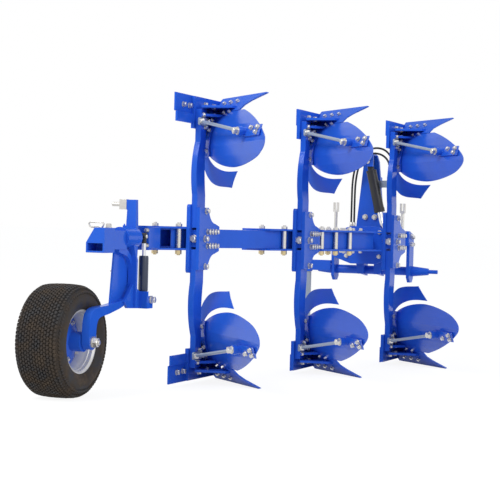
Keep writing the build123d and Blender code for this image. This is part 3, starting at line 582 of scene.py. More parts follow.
class PointTree(Graph):
    """A Geometry Nodes tree that sets one form on marked points, as one plain mesh."""

    def __init__(self, name: str, numbers: dict[str, float]) -> None:
        """Starts the tree.

        Args:
            name: the tree's name.
            numbers: its number inputs, each with its default.
        """
        super().__init__(bpy.data.node_groups.new(name, "GeometryNodeTree"))
        self.socket("Geometry", "Geometry")
        for label, default in numbers.items():
            self.socket(label, "Float").default_value = default
        self.socket("Finish", "Material")
        self.socket("Geometry", "Geometry", "OUTPUT")
        self.source = self.add("NodeGroupInput").outputs

    def mark(self, name: str, kind: str = "FLOAT_VECTOR") -> Socket:
        """What a point holds under that name."""
        return self.add("GeometryNodeInputNamedAttribute", {"Name": name}, data_type=kind).outputs[0]

    def turned(self, way: str, axis: str, pivot: str = "AUTO", **start: Socket) -> Socket:
        """A rotation that turns one axis of the form to the vector that a point holds.

        Args:
            way: the name of the point's vector.
            axis: the form's axis.
            pivot: the axis that it turns about, where only one will do.
            start: the Rotation that comes first, where there is one.

        Returns:
            The rotation.
        """
        inputs = {"Vector": self.mark(way), **start}
        settings = {"axis": axis, "pivot_axis": pivot}
        return self.add("FunctionNodeAlignRotationToVector", inputs, **settings).outputs[0]

    def end(self, form: Socket, rotation: Socket) -> None:
        """Sets the form on every point at the point's size, makes the copies real and paints them."""
        spot = self.add("GeometryNodeInstanceOnPoints", {
            "Points": self.source["Geometry"],
            "Instance": form,
            "Rotation": rotation,
            "Scale": self.mark("size", "FLOAT"),
        })
        real = self.add("GeometryNodeRealizeInstances", {0: spot.outputs[0]})
        paint = {"Geometry": real.outputs[0], "Material": self.source["Finish"]}
        self.add("NodeGroupOutput", {0: self.add("GeometryNodeSetMaterial", paint).outputs[0]})

    def run(self, name: str, places: Sequence[Vector], ways: dict[str, Sequence[Sequence[float]]],
            sizes: Sequence[float], inputs: dict[str, float | bpy.types.Material]) -> bpy.types.Mesh:
        """Runs the tree on its points.

        Args:
            name: what the points are for.
            places: the points, in the row frame.
            ways: by name, the vector that each point holds.
            sizes: the size that each point holds.
            inputs: by label, the values of the tree's inputs that differ from their defaults.

        Returns:
            The plain mesh.
        """
        mesh = bpy.data.meshes.new(name + "_points")
        mesh.from_pydata(places, [], [])
        for label, vectors in ways.items():
            held = mesh.attributes.new(label, "FLOAT_VECTOR", "POINT")
            held.data.foreach_set("vector", [c for vector in vectors for c in vector])
        mesh.attributes.new("size", "FLOAT", "POINT").data.foreach_set("value", sizes)
        raw = linked(name + "_raw", mesh)
        modifier = raw.modifiers.new("Forms", "NODES")
        modifier.node_group = self.tree
        for item in self.tree.interface.items_tree:
            if item.in_out == "INPUT" and item.name in inputs:
                modifier[item.identifier] = inputs[item.name]
        return applied(raw)


@dataclass(frozen=True)
class Bolt:
    """One bolt head or nut.

    Attributes:
        at: where it sits, in the part's drawing.
        axis: which way it points.
        width: its width across corners, in millimetres.
    """

    at: Point
    axis: Point
    width: float = 30.0


class BoltTree(PointTree):
    """Sets hexagon heads on washers, whose sizes are shares of the bolt's width."""

    def __init__(self, shop: Paintshop) -> None:
        """Builds the tree once.

        Args:
            shop: the materials.
        """
        super().__init__("SetBolts", {"Head Height": 0.55, "Washer Width": 1.16, "Washer Height": 0.14})
        self.shop = shop
        self.forms = self.add("GeometryNodeJoinGeometry")
        head, washer = self.source["Head Height"], self.source["Washer Height"]
        wide = self.calc("MULTIPLY", self.source["Washer Width"], 0.5)
        disc = {"Vertices": 20, "Radius": wide, "Depth": washer}
        self._stack("GeometryNodeMeshCylinder", disc, self.calc("MULTIPLY", washer, 0.5))
        hexagon = {"Vertices": 6, "Radius": 0.5, "Depth": head}
        middle = self.calc("ADD", self.calc("MULTIPLY", head, 0.5), washer)
        self._stack("GeometryNodeMeshCylinder", hexagon, middle)
        crown = {"Vertices": 12, "Radius Bottom": 0.42, "Radius Top": 0.34, "Depth": 0.07}
        self._stack("GeometryNodeMeshCone", crown, self.calc("ADD", head, washer))
        self.end(self.forms.outputs[0], self.turned("axis", "Z"))

    def _stack(self, kind: str, sizes: dict[str, Value], height: Socket) -> None:
        """Adds one form of the bolt.

        Args:
            kind: the form's node.
            sizes: the node's inputs.
            height: how far the form is lifted off the surface.
        """
        form = self.add(kind, sizes).outputs["Mesh"]
        lift = self.add("ShaderNodeCombineXYZ", {"Z": height}).outputs[0]
        moved = self.add("GeometryNodeTransform", {"Geometry": form, "Translation": lift})
        self.tree.links.new(moved.outputs[0], self.forms.inputs[0])

    def set(self, name: str, bolts: Sequence[Bolt], body: str, finish: str = "silver_zinc",
            head: float = 0.55) -> None:
        """Makes one piece of all these bolts.

        Args:
            name: the piece's name.
            bolts: the bolts.
            body: the CAD body that they ride on.
            finish: their finish.
            head: head height as a share of the width.
        """
        places = [place(*bolt.at) for bolt in bolts]
        ways = {"axis": [bolt.axis for bolt in bolts]}
        inputs = {"Head Height": head, "Finish": self.shop.materials[finish]}
        mesh = self.run(name, places, ways, [bolt.width / 1000.0 for bolt in bolts], inputs)
        piece(name, mesh, body)


class TreadTree(PointTree):
    """Sets tapered blocks on the tyre."""

    def __init__(self, block: tuple[float, float, float]) -> None:
        """Builds the tree.

        Args:
            block: length along the tread, width and height of one block, in millimetres.
        """
        labels = ("Length", "Width", "Height")
        super().__init__("SetTread", {label: value / 1000.0 for label, value in zip(labels, block)})
        taper = {"Vertices": 4, "Radius Bottom": 0.80, "Radius Top": 0.62, "Depth": 1.0}
        form = self.add("GeometryNodeMeshCone", taper).outputs["Mesh"]
        quarter = {"Geometry": form, "Rotation": (0.0, 0.0, math.radians(45.0))}
        square = self.add("GeometryNodeTransform", quarter).outputs[0]
        sides = {axis: self.source[label] for axis, label in zip("XYZ", labels)}
        size = self.add("ShaderNodeCombineXYZ", sides).outputs[0]
        sized = self.add("GeometryNodeTransform", {"Geometry": square, "Scale": size}).outputs[0]
        self.end(sized, self.turned("way", "X", "Z", Rotation=self.turned("out", "Z")))


def twins(name: str, at: Point, axis: Point, width: float = 28.0) -> list[Bolt]:
    """The same bolt on a station's lower body and, mirrored in the beam's plane, on its upper one.

    Args:
        name: the station.
        at: the bolt's place from the lower body's leg centre and the floor.
        axis: the way it points.
        width: its width across corners.

    Returns:
        Two bolts.
    """
    sx, sy = STATIONS[name]
    x, y, z = at
    return [
        Bolt((x + sx, y + sy, z), axis, width),
        Bolt((x + sx, y + sy, 2 * AXIS - z), (axis[0], axis[1], -axis[2]), width),
    ]


# Sub-assemblies


@dataclass
class SubAssembly:
    """A part of the plough that gets pieces of its own.

    Attributes:
        shop: the materials.
        tree: the bolts' tree.
    """

    shop: Paintshop
    tree: BoltTree

    def weld(self, name: str, beads: Sequence[Sequence[Point]]) -> None:
        """Makes painted weld beads on the frame as one piece.

        Args:
            name: the piece's name.
            beads: the path of each bead, in millimetres.
        """
        bm = bmesh.new()
        for path in beads:
            tube(bm, path, BEAD_R, 7, ripple=0.16, step=BEAD_R)
        self.shop.make(name, bm, "frame", "blue_paint")


@dataclass(frozen=True)
class BoardSurface:
    """The curved surface that the shares and mouldboards follow: level lines on a round guide curve.

    Attributes:
        point: the share's point, from the leg's centre.
        wing: the share's wing, from the leg's centre.
        guide_r: radius of the guide curve.
        lift: angle of the guide curve at the floor, in degrees.
        swing: how far the level lines turn towards travel at the height swing_h, in degrees.
        swing_h: that height.
    """

    point: tuple[float, float] = (430.0, 30.0)
    wing: tuple[float, float] = (12.0, -411.0)
    guide_r: float = 340.0
    lift: float = 25.0
    swing: float = 4.6
    swing_h: float = 300.0

    @property
    def edge(self) -> float:
        """Direction of the cutting edge, in radians."""
        return math.atan2(self.point[1] - self.wing[1], self.point[0] - self.wing[0])

    @property
    def out(self) -> Point:
        """The level way behind the cutting edge, square to it."""
        return (-math.sin(self.edge), math.cos(self.edge), 0.0)

    def slope(self, h: float) -> float:
        """Slope of the guide curve at height h, in radians."""
        c = math.cos(math.radians(self.lift)) - h / self.guide_r
        return math.atan2(math.sqrt(1.0 - c * c), c)

    def at(self, y: float, h: float, behind: float) -> Point:
        """A point of the surface.

        Args:
            y: its side position from the leg's centre.
            h: its height over the floor.
            behind: how far it is set back behind the front face.

        Returns:
            The point, from the leg's centre and the floor.
        """
        slope = self.slope(h)
        back = self.guide_r * (math.sin(slope) - math.sin(math.radians(self.lift))) + behind / math.sin(slope)
        swing = self.edge - math.radians(self.swing) * min(h / self.swing_h, 1.0)
        x0 = self.point[0] - back * math.sin(self.edge)
        y0 = self.point[1] + back * math.cos(self.edge)
        return (x0 + (y - y0) / math.sin(swing) * math.cos(swing), y, h)

    def back_way(self, y: float, h: float) -> Point:
        """The way straight out of the back face.

        Args:
            y: side position from the leg's centre.
            h: height over the floor.

        Returns:
            A vector of length 1.
        """
        here = Vector(self.at(y, h, 0.0))
        along = Vector(self.at(y - 5.0, h, 0.0)) - here
        rise = Vector(self.at(y, h + 5.0, 0.0)) - here
        normal = along.cross(rise).normalized()
        return tuple(-normal if normal.x > 0 else normal)


@dataclass
class Hoses:
    """The two hydraulic hoses from the cross beam over the cylinder to the valve block.

    Attributes:
        shop: the materials.
        diameter: of each hose.
        routes: points that each hose's line goes by, with their heights from the turnover axis.
        lengths: real length of each hose, in metres; not used.
        sleeve: profile of the crimped sleeve on a hose's end.
        nut: profile of the hexagon nut under it.
    """

    shop: Paintshop
    diameter: float = 14.0
    routes: dict[str, list[Point]] = field(default_factory=lambda: {
        "hose_inner": [
            (467, 122, 104), (467, 122, 190), (454, 118, 292), (420, 106, 390),
            (376, 82, 474), (333, 50, 545), (312, 11, 595), (313, -50, 618),
            (331, -104, 613), (358, -144, 581), (384, -158, 532), (384, -158, 476)],
        "hose_outer": [
            (467, 144, 104), (467, 144, 196), (452, 139, 304), (414, 126, 408),
            (364, 98, 498), (322, 57, 576), (294, 1, 628), (300, -58, 653),
            (323, -109, 653), (354, -149, 629), (384, -180, 571), (384, -180, 498)],
    })
    lengths: dict[str, float] = field(default_factory=lambda: {"hose_inner": 0.832, "hose_outer": 0.911})
    sleeve: Profile = ((0.0078, -0.001), (0.0105, 0.0), (0.0105, 0.022), (0.0085, 0.025), (0.0074, 0.0255))
    nut: Profile = ((0.0, -0.0005), (0.0125, 0.0), (0.0125, 0.011), (0.0, 0.0115))

    def lines(self) -> None:
        """Makes both hoses as smooth curves that stand for their CAD tubes."""
        for name, route in self.routes.items():
            curve = bpy.data.curves.new(name + "_line", "CURVE")
            curve.dimensions = "3D"
            curve.bevel_depth = self.diameter / 2000.0
            curve.bevel_resolution = 5
            curve.resolution_u = 10
            curve.use_fill_caps = True
            spline = curve.splines.new("NURBS")
            spline.points.add(len(route) - 1)
            for point, (x, y, z) in zip(spline.points, route):
                point.co = (*place(x, y, z + AXIS), 1.0)
            spline.order_u = 3
            spline.use_endpoint_u = True
            obj = self.shop.dress(linked(name + "_line", curve), "hose_rubber")
            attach(obj, "headstock")
            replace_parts(obj, name)
            x, y, z = route[0]
            log.info("%s rides on headstock", obj.name)

    def collars(self) -> None:
        """Adds the crimped sleeves and hexagon nuts on the hose ends."""
        forms = []
        for route in self.routes.values():
            for x, y, z in (route[0], route[-1]):
                end = (x, y, z + AXIS)
                forms += [(end, UP, self.sleeve, 20), (end, DOWN, self.nut, 6)]
        self.shop.turn("hose_collars", "headstock", "silver_zinc", forms)

    def build(self) -> None:
        """Makes the hoses and their ends."""
        self.lines()
        self.collars()


@dataclass
class Bodies(SubAssembly):
    """The six plough bodies: bolts on the boards, the frogs, the landsides, the stays and the leg brackets.

    Bolts on the boards are given by side position and height, and those on the frogs by place along travel
    and height, from the leg's centre and the floor.

    Attributes:
        surface: the boards' own surface.
        wing_rows: heights of the rows that clamp a bracket to the beam, from the turnover axis.
        wing_span: first and last bolt of such a row.
        cheek_face: outer face of a bracket's right cheek.
        leg_x: the large bolt through a leg's root, along travel.
        clamp: place along travel of the bolts that clamp a leg, and their height from the turnover axis.
        rear_x: the bolt in a bracket's rear face, along travel.
        strip_bolts: bolts of the strip and the rib behind a mouldboard.
        rib_nuts: nuts of the lower bolts of a mouldboard.
        rib_heads: heads of the same bolts.
        share_bolts: bolts of a share.
        stay_bolts: bolts of the pad that holds a stay.
        behind: how far behind the front face the nuts of these four sit.
        foot_bolts: bolts of a leg's foot.
        frog_bolts: bolts of a frog.
        landside_bolts: bolts of a landside.
        frog_half: half width of the foot that a frog's plates hold.
        landside_face: outer face of a landside.
        tail_bolts: the bolts on the rear landsides' tail, along travel.
        tail_face: inner face of that tail.
        tail_h: height of its bolts.
        stay_foot: the bolts that hold a stay to the leg, along travel.
        stay_face: outer face of a stay's foot.
        stay_h: height of those bolts.
        eye: side position and height of a stay's eye.
        eye_out: how far the middle of a stay's eye stands off the mouldboard.
        eye_half: half thickness of a stay's eye with its washer.
        eye_reach: radius of the painted eye, in metres.
    """

    surface: BoardSurface = field(default_factory=BoardSurface)
    wing_rows: tuple[float, float] = (41.0, -41.0)
    wing_span: tuple[float, float] = (51.0, 175.0)
    cheek_face: float = -37.5
    leg_x: float = 13.0
    clamp: tuple[float, float] = (25.0, 160.0)
    rear_x: float = -45.0
    strip_bolts: Pairs = ((-27.0, 150.0), (-27.0, 210.0), (-26.0, 330.0), (12.0, 318.0), (12.0, 352.0))
    rib_nuts: Pairs = ((-110.0, 110.0), (-168.0, 108.0))
    rib_heads: Pairs = ((-110.0, 112.0), (-168.0, 112.0))
    share_bolts: Pairs = ((-62.0, 50.0), (-128.0, 48.0), (-196.0, 46.0))
    stay_bolts: Pairs = ((-492.0, 234.0), (-556.0, 234.0), (-548.0, 261.0))
    behind: tuple[float, float, float, float] = (20.3, 8.3, 11.3, 18.3)
    foot_bolts: Pairs = ((-12.0, 130.0), (22.0, 196.0))
    frog_bolts: Pairs = ((96.0, 62.0), (215.0, 62.0), (84.0, 150.0), (92.0, 226.0))
    landside_bolts: Pairs = ((40.0, 70.0), (180.0, 70.0), (300.0, 60.0))
    frog_half: float = 17.8
    landside_face: float = 48.1
    tail_bolts: tuple[float, float] = (-168.0, -85.0)
    tail_face: float = 38.1
    tail_h: float = 80.0
    stay_foot: tuple[float, float] = (-60.0, 18.0)
    stay_face: float = -29.8
    stay_h: float = 168.0
    eye: tuple[float, float] = (-436.0, 246.0)
    eye_out: float = 43.3
    eye_half: float = 11.0
    eye_reach: float = 0.031

    def brackets(self) -> list[Bolt]:
        """Bolt rows that clamp each bracket to the beam and its leg."""
        bolts = []
        first, last = self.wing_span
        clamp_x, clamp_rise = self.clamp
        for sx, sy in STATIONS.values():
            right, left = sy + self.cheek_face, sy - self.cheek_face
            for z in self.wing_rows:
                for i in range(4):
                    x = first + (last - first) * i / 3
                    bolts.append(Bolt((sx + x, right, AXIS + z), RIGHT, 30.0))
            bolts.append(Bolt((sx + self.leg_x, right, AXIS), RIGHT, 34.0))
            for z in (clamp_rise, -clamp_rise):
                bolts.append(Bolt((sx + clamp_x, right, AXIS + z), RIGHT, 32.0))
                bolts.append(Bolt((sx + clamp_x, left, AXIS + z), LEFT, 32.0))
            bolts.append(Bolt((sx + self.leg_x, left, AXIS), LEFT, 34.0))
            bolts.append(Bolt((sx + self.rear_x, sy, AXIS), ASTERN, 40.0))
        return bolts

    def nuts(self) -> list[Bolt]:
        """Nuts on the back of the boards and shares, where strips, ribs and pads are bolted."""
        bolts = []
        groups = (self.strip_bolts, self.rib_nuts, self.share_bolts, self.stay_bolts)
        for name in STATIONS:
            for group, behind, width in zip(groups, self.behind, (21.0, 21.0, 21.0, 24.0)):
                for y, h in group:
                    bolts += twins(name, self.surface.at(y, h, behind), self.surface.back_way(y, h), width)
        return bolts

    def heads(self) -> list[Bolt]:
        """Flat plough bolt heads on the working faces."""
        bolts = []
        for name in STATIONS:
            for y, h in (*self.strip_bolts, *self.rib_heads, *self.share_bolts, *self.stay_bolts):
                front = tuple(-c for c in self.surface.back_way(y, h))
                bolts += twins(name, self.surface.at(y, h, -0.2), front, 22.0)
        return bolts

    def frogs(self) -> list[Bolt]:
        """Bolts through the frog, the leg's foot and the landside."""
        bolts = []
        rows = (
            (self.foot_bolts, -self.frog_half, RIGHT, 28.0),
            (self.frog_bolts, self.frog_half, RIGHT, 28.0),
            (self.landside_bolts, self.landside_face, LEFT, 24.0),
        )
        for name in STATIONS:
            for row, y, way, width in rows:
                for x, h in row:
                    bolts += twins(name, (x, y, h), way, width)
        for x in self.tail_bolts:
            bolts += twins("rear", (x, self.tail_face, self.tail_h), RIGHT, 30.0)
            bolts += twins("rear", (x, self.landside_face, self.tail_h), LEFT, 24.0)
        return bolts

    def stays(self) -> list[Bolt]:
        """Large nuts on the stays' eyes and bolts at their leg ends."""
        bolts = []
        out = self.surface.out
        x, y, h = self.surface.at(*self.eye, self.behind[1])
        reach = self.eye_out + self.eye_half
        for name in STATIONS:
            bolts += twins(name, (x + out[0] * reach, y + out[1] * reach, h), out, 38.0)
            for leg_x in self.stay_foot:
                bolts += twins(name, (leg_x, self.stay_face, self.stay_h), RIGHT, 32.0)
        return bolts

    def paint_eyes(self) -> None:
        """Paints the stays' eyes blue, as the brackets that hold them."""
        eye = Vector(self.surface.at(*self.eye, self.behind[1])) + Vector(self.surface.out) * self.eye_out
        for name, (sx, sy) in STATIONS.items():
            spots = [place(eye.x + sx, eye.y + sy, z) for z in (eye.z, 2 * AXIS - eye.z)]
            self.shop.repaint("stays_" + name, "blue_paint",
                              lambda middle: min((middle - spot).length for spot in spots) < self.eye_reach)

    def build(self) -> None:
        """Sets the bolts and the weld beads of the brackets."""
        self.paint_eyes()
        self.tree.set("bracket_bolts", self.brackets(), "frame")
        self.tree.set("board_nuts", self.nuts(), "frame")
        self.tree.set("board_heads", self.heads(), "frame", "blue_paint", 0.03)
        self.tree.set("frog_bolts", self.frogs(), "frame", head=0.5)
        self.tree.set("stay_bolts", self.stays(), "frame", head=0.6)
        beads = []
        for sx, sy in STATIONS.values():
            for z in (AXIS - 45.0, AXIS + 45.0):
                beads.append([(sx - 44, sy + s * 18.0, z) for s in (-1, 1)])
            for s in (-1, 1):
                beads.append([(sx + x, sy - 17.0, AXIS + s * 48.0) for x in (70, 228)])
        self.weld("bracket_welds", beads)


@dataclass
class DepthWheel(SubAssembly):
    """Tyre with a turf tread, stepped rim, hub nut and the trim of the swinging arm.

    Attributes:
        centre: the axle's crossing with the tyre's middle plane.
        radius: outer radius over the tread.
        half_section: side position of the carcass, and how far it lies inside the outer radius.
        bead: radius and side position of the carcass's inner edge, in metres.
        rim_half: profile of half the rim, in metres.
        rows: blocks round the tyre in each column.
        block: length, width and height of a tread block.
        columns: side position of each column of blocks.
        slant: how far a block is turned off the way of travel, in degrees.
        arm_face: side position of the arm's foot under the axle nut.
        bolt_circle: radius of the wheel bolts' circle.
        handle_x: the locking handle's plane, along travel.
        handle_z: height of the arm socket's top.
        damper_x: the damper's line, along travel.
        damper_y: side position of the damper's line.
        damper_foot: height of the damper's lower pin.
        damper_head: height of the damper's upper pin.
        clevis_half: half width of the clevis round the lower pin.
        disc_in: how far the wheel's disc lies inside the tyre's middle plane.
        axle_out: how far the middle of the axle's end stands off the arm's foot.
        socket_bolt: place along travel and side position of the bolt in the arm's socket.
        nipple_x: the grease nipple on the pivot's knuckle, along travel.
        knuckle_top: height of the knuckle's top from the turnover axis.
        collar_x: the knuckle's two collars, along travel.
    """

    centre: Point = (-2930.0, 617.0, 298.0)
    radius: float = 298.0
    half_section: Pairs = (
        (0.0, 8.0), (45.0, 8.8), (80.0, 11.5), (96.0, 15.0), (108.0, 22.0), (118.0, 34.0), (125.0, 52.0),
        (129.0, 60.0), (130.0, 63.0), (131.5, 66.0), (132.8, 82.0), (131.0, 99.0), (129.6, 101.0),
        (127.0, 112.0), (119.0, 124.0), (112.0, 130.0), (106.0, 138.0))
    bead: tuple[float, float] = (0.1592, 0.106)
    rim_half: Profile = (
        (0.1585, 0.099), (0.1585, 0.100), (0.1640, 0.106), (0.1675, 0.110), (0.1668, 0.1135),
        (0.1630, 0.1130), (0.1585, 0.1080), (0.1545, 0.1040), (0.1535, 0.0860), (0.1500, 0.0820),
        (0.1490, 0.0620), (0.1455, 0.0570))
    rows: int = 84
    block: tuple[float, float, float] = (17.0, 12.0, 8.0)
    columns: tuple[float, ...] = (
        -121.0, -106.0, -91.0, -75.0, -59.0, -44.0, -28.0, -13.0,
        3.0, 18.0, 34.0, 49.0, 65.0, 81.0, 97.0, 113.0)
    slant: float = 24.0
    arm_face: float = 438.0
    bolt_circle: float = 92.0
    handle_x: float = -2790.0
    handle_z: float = AXIS + 52.0
    damper_x: float = -2380.0
    damper_y: float = 422.0
    damper_foot: float = AXIS - 338.0
    damper_head: float = AXIS + 8.0
    clevis_half: float = 48.2
    disc_in: float = 43.0
    axle_out: float = 30.0
    socket_bolt: tuple[float, float] = (-2764.0, 446.0)
    nipple_x: float = -2530.0
    knuckle_top: float = 57.0
    collar_x: tuple[float, float] = (-2590.0, -2476.0)

    def section(self) -> list[tuple[float, float]]:
        """Section of the carcass: side position and radius."""
        right = [(y, self.radius - drop) for y, drop in self.half_section]
        return [(-y, radius) for y, radius in reversed(right)] + right[1:]

    def crown(self, y: float) -> tuple[float, float]:
        """Radius and outward slope of the carcass at a side position.

        Args:
            y: the side position from the middle plane.

        Returns:
            The radius, and the angle that the surface turns away from the axle, in radians.
        """
        half = self.section()[len(self.half_section) - 1:]
        for (y0, r0), (y1, r1) in zip(half, half[1:]):
            if abs(y) <= y1:
                tilt = math.copysign(math.atan2(r0 - r1, y1 - y0), y)
                return r0 + (r1 - r0) * (abs(y) - y0) / (y1 - y0), tilt
        return half[-1][1], 0.0

    def tyre(self) -> None:
        """Makes the tyre, which stands for its CAD node, and its tread."""
        radius, y = self.bead
        profile = [(radius, -y)] + [(r / 1000.0, y / 1000.0) for y, r in self.section()] + [(radius, y)]
        form = (self.centre, LEFT, profile + [profile[0]], 120)
        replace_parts(self.shop.turn("tyre_dressed", "wheel", "tyre_rubber", [form]), "tyre")
        places, outs, ways, sizes = zip(*self.marks())
        finish = {"Finish": self.shop.materials["tyre_rubber"]}
        tread = TreadTree(self.block).run("tread", places, {"out": outs, "way": ways}, sizes, finish)
        piece("tyre_tread", tread, "wheel")

    def marks(self) -> list[tuple[Vector, Vector, Vector, float]]:
        """Place, outward way, forward way and size of every tread block."""
        rng = random.Random(11)
        marks = []
        cx, cy, cz = self.centre
        for index, y in enumerate(self.columns):
            radius, tilt = self.crown(y)
            slant = math.radians(self.slant if index % 2 else -self.slant)
            for row in range(self.rows):
                angle = 2 * math.pi * (row + (0.5 if index % 2 else 0.0) + 0.06 * index) / self.rows
                spoke = Vector((math.cos(angle), 0, math.sin(angle)))
                forward = Vector((-math.sin(angle), 0, math.cos(angle)))
                out = spoke * math.cos(tilt) + Vector((0, math.sin(tilt), 0))
                side = Vector((0, math.cos(tilt), 0)) - spoke * math.sin(tilt)
                way = forward * math.cos(slant) + side * math.sin(slant)
                at = place(cx + radius * spoke.x, cy + y, cz + radius * spoke.z)
                marks.append((at, out, way, rng.uniform(0.94, 1.0)))
        return marks

    def rim(self) -> None:
        """Makes the rim with its lips and steps, which stands for its CAD node."""
        profile = [(r, -y) for r, y in self.rim_half] + [(r, y) for r, y in reversed(self.rim_half)]
        form = (self.centre, LEFT, profile + [profile[0]], 96)
        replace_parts(self.shop.turn("rim_dressed", "wheel", "silver_paint", [form]), "wheel_rim")

    def hub(self) -> None:
        """Adds the axle nut on the arm's foot, the axle's end, the wheel bolts and the hub's dust cap."""
        x, y, z = self.centre
        self.tree.set("axle_nut", [Bolt((x, self.arm_face, z), RIGHT, 54.0)], "wheel_arm", head=0.42)
        bolts = []
        for i in range(6):
            a = math.pi * (i / 3.0 + 0.1)
            at = (x + self.bolt_circle * math.cos(a), y - self.disc_in, z + self.bolt_circle * math.sin(a))
            bolts.append(Bolt(at, (0.48 * math.cos(a), -0.87, 0.48 * math.sin(a)), 21.0))
        self.tree.set("wheel_bolts", bolts, "wheel")
        end = [(0.0, -0.012), (0.010, -0.012), (0.0125, -0.0095), (0.0125, 0.012), (0.0, 0.012)]
        middle = (x, self.arm_face - self.axle_out, z)
        self.shop.turn("axle_end", "wheel_arm", "silver_zinc", [(middle, LEFT, end, 20)])
        cap = [(0.0, 0.034), (0.052, 0.034), (0.052, 0.040), (0.040, 0.060), (0.018, 0.068), (0.0, 0.068)]
        self.shop.turn("hub_cap", "wheel", "blue_paint", [(self.centre, LEFT, cap, 36)])

    def arm_trim(self) -> None:
        """Adds the locking handle, the socket's bolt, the pivot's caps and the clevis bolts."""
        x, top = self.handle_x, self.handle_z
        bow = ((500, 1), (476, 1), (468, 4), (462, 20), (466, 26), (474, 28), (536, 28), (545, 26), (550, 20),
               (544, 5), (536, 1), (500, 1))
        bm = bmesh.new()
        tube(bm, [(x, y, top + rise) for y, rise in bow], 4.5, 10)
        tube(bm, [(x, 505, top + 2), (x, 502, top - 34)], 10.0, 12)
        self.shop.make("lock_handle", bm, "wheel_arm", "silver_zinc")
        self.tree.set("socket_bolt", [Bolt((*self.socket_bolt, top), UP, 30.0)], "wheel_arm")
        nipple = [(0.0, 0.0), (0.009, 0.0), (0.009, 0.008), (0.004, 0.012), (0.0035, 0.018), (0.0, 0.019)]
        collar = [(0.0302, 0.0), (0.052, 0.0), (0.052, 0.004), (0.0302, 0.004), (0.0302, 0.0)]
        forms = [((self.nipple_x, PIVOT_Y, AXIS + self.knuckle_top), UP, nipple, 12)]
        forms += [((x, PIVOT_Y, AXIS), AHEAD, collar, 36) for x in self.collar_x]
        self.shop.turn("knuckle_caps", "wheel_arm", "blue_paint", forms)
        clevis = []
        for s in (-1, 1):
            at = (self.damper_x, self.damper_y + s * self.clevis_half, self.damper_foot)
            clevis.append(Bolt(at, (0, s, 0), 38.0))
        self.tree.set("clevis_bolts", clevis, "wheel_arm")

    def damper(self) -> None:
        """Makes the damper with a chromed rod and black eyes, which stands for its CAD node."""
        x, y, foot, head = self.damper_x, self.damper_y, self.damper_foot, self.damper_head
        barrel = [(0.0, 0.0), (0.020, 0.0), (0.0262, 0.004), (0.027, 0.010), (0.027, 0.184),
                  (0.0262, 0.188), (0.0262, 0.192), (0.024, 0.198), (0.014, 0.1985), (0.0, 0.1985)]
        eye = [(0.0, 0.0), (0.018, 0.0), (0.020, 0.002), (0.020, 0.022), (0.018, 0.024), (0.0, 0.024)]
        neck = [(0.0, 0.0), (0.014, 0.0), (0.016, 0.006), (0.016, 0.030), (0.0, 0.030)]
        pin = [(0.0, 0.0), (0.009, 0.0), (0.0105, 0.002), (0.0105, 0.032), (0.0, 0.034)]
        rows = (
            ("dark_blue_paint", (x, y, foot + 42), UP, barrel, 40),
            ("chrome", (x, y, head - 108), UP, bar(0.0115, 0.0, 0.096), 28),
            ("black_paint", (x, y - 12, head), LEFT, eye, 32),
            ("black_paint", (x, y - 12, foot), LEFT, eye, 32),
            ("black_paint", (x, y, foot + 12), UP, neck, 28),
            ("black_paint", (x, y, head - 38), UP, bar(0.013, 0.0, 0.024), 24),
            ("silver_zinc", (x, y - 35.5, foot), LEFT, bar(0.010, 0.0, 0.071), 20),
            ("silver_zinc", (x, y - 18, head), LEFT, pin, 20),
        )
        made = []
        for index, (finish, *form) in enumerate(rows):
            made.append(self.shop.turn("damper_%d" % index, "wheel_arm", finish, [form]))
        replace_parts(made[0], "damper")

    def build(self) -> None:
        """Builds the wheel unit's visual pieces."""
        self.tyre()
        self.rim()
        self.hub()
        self.arm_trim()
        self.damper()


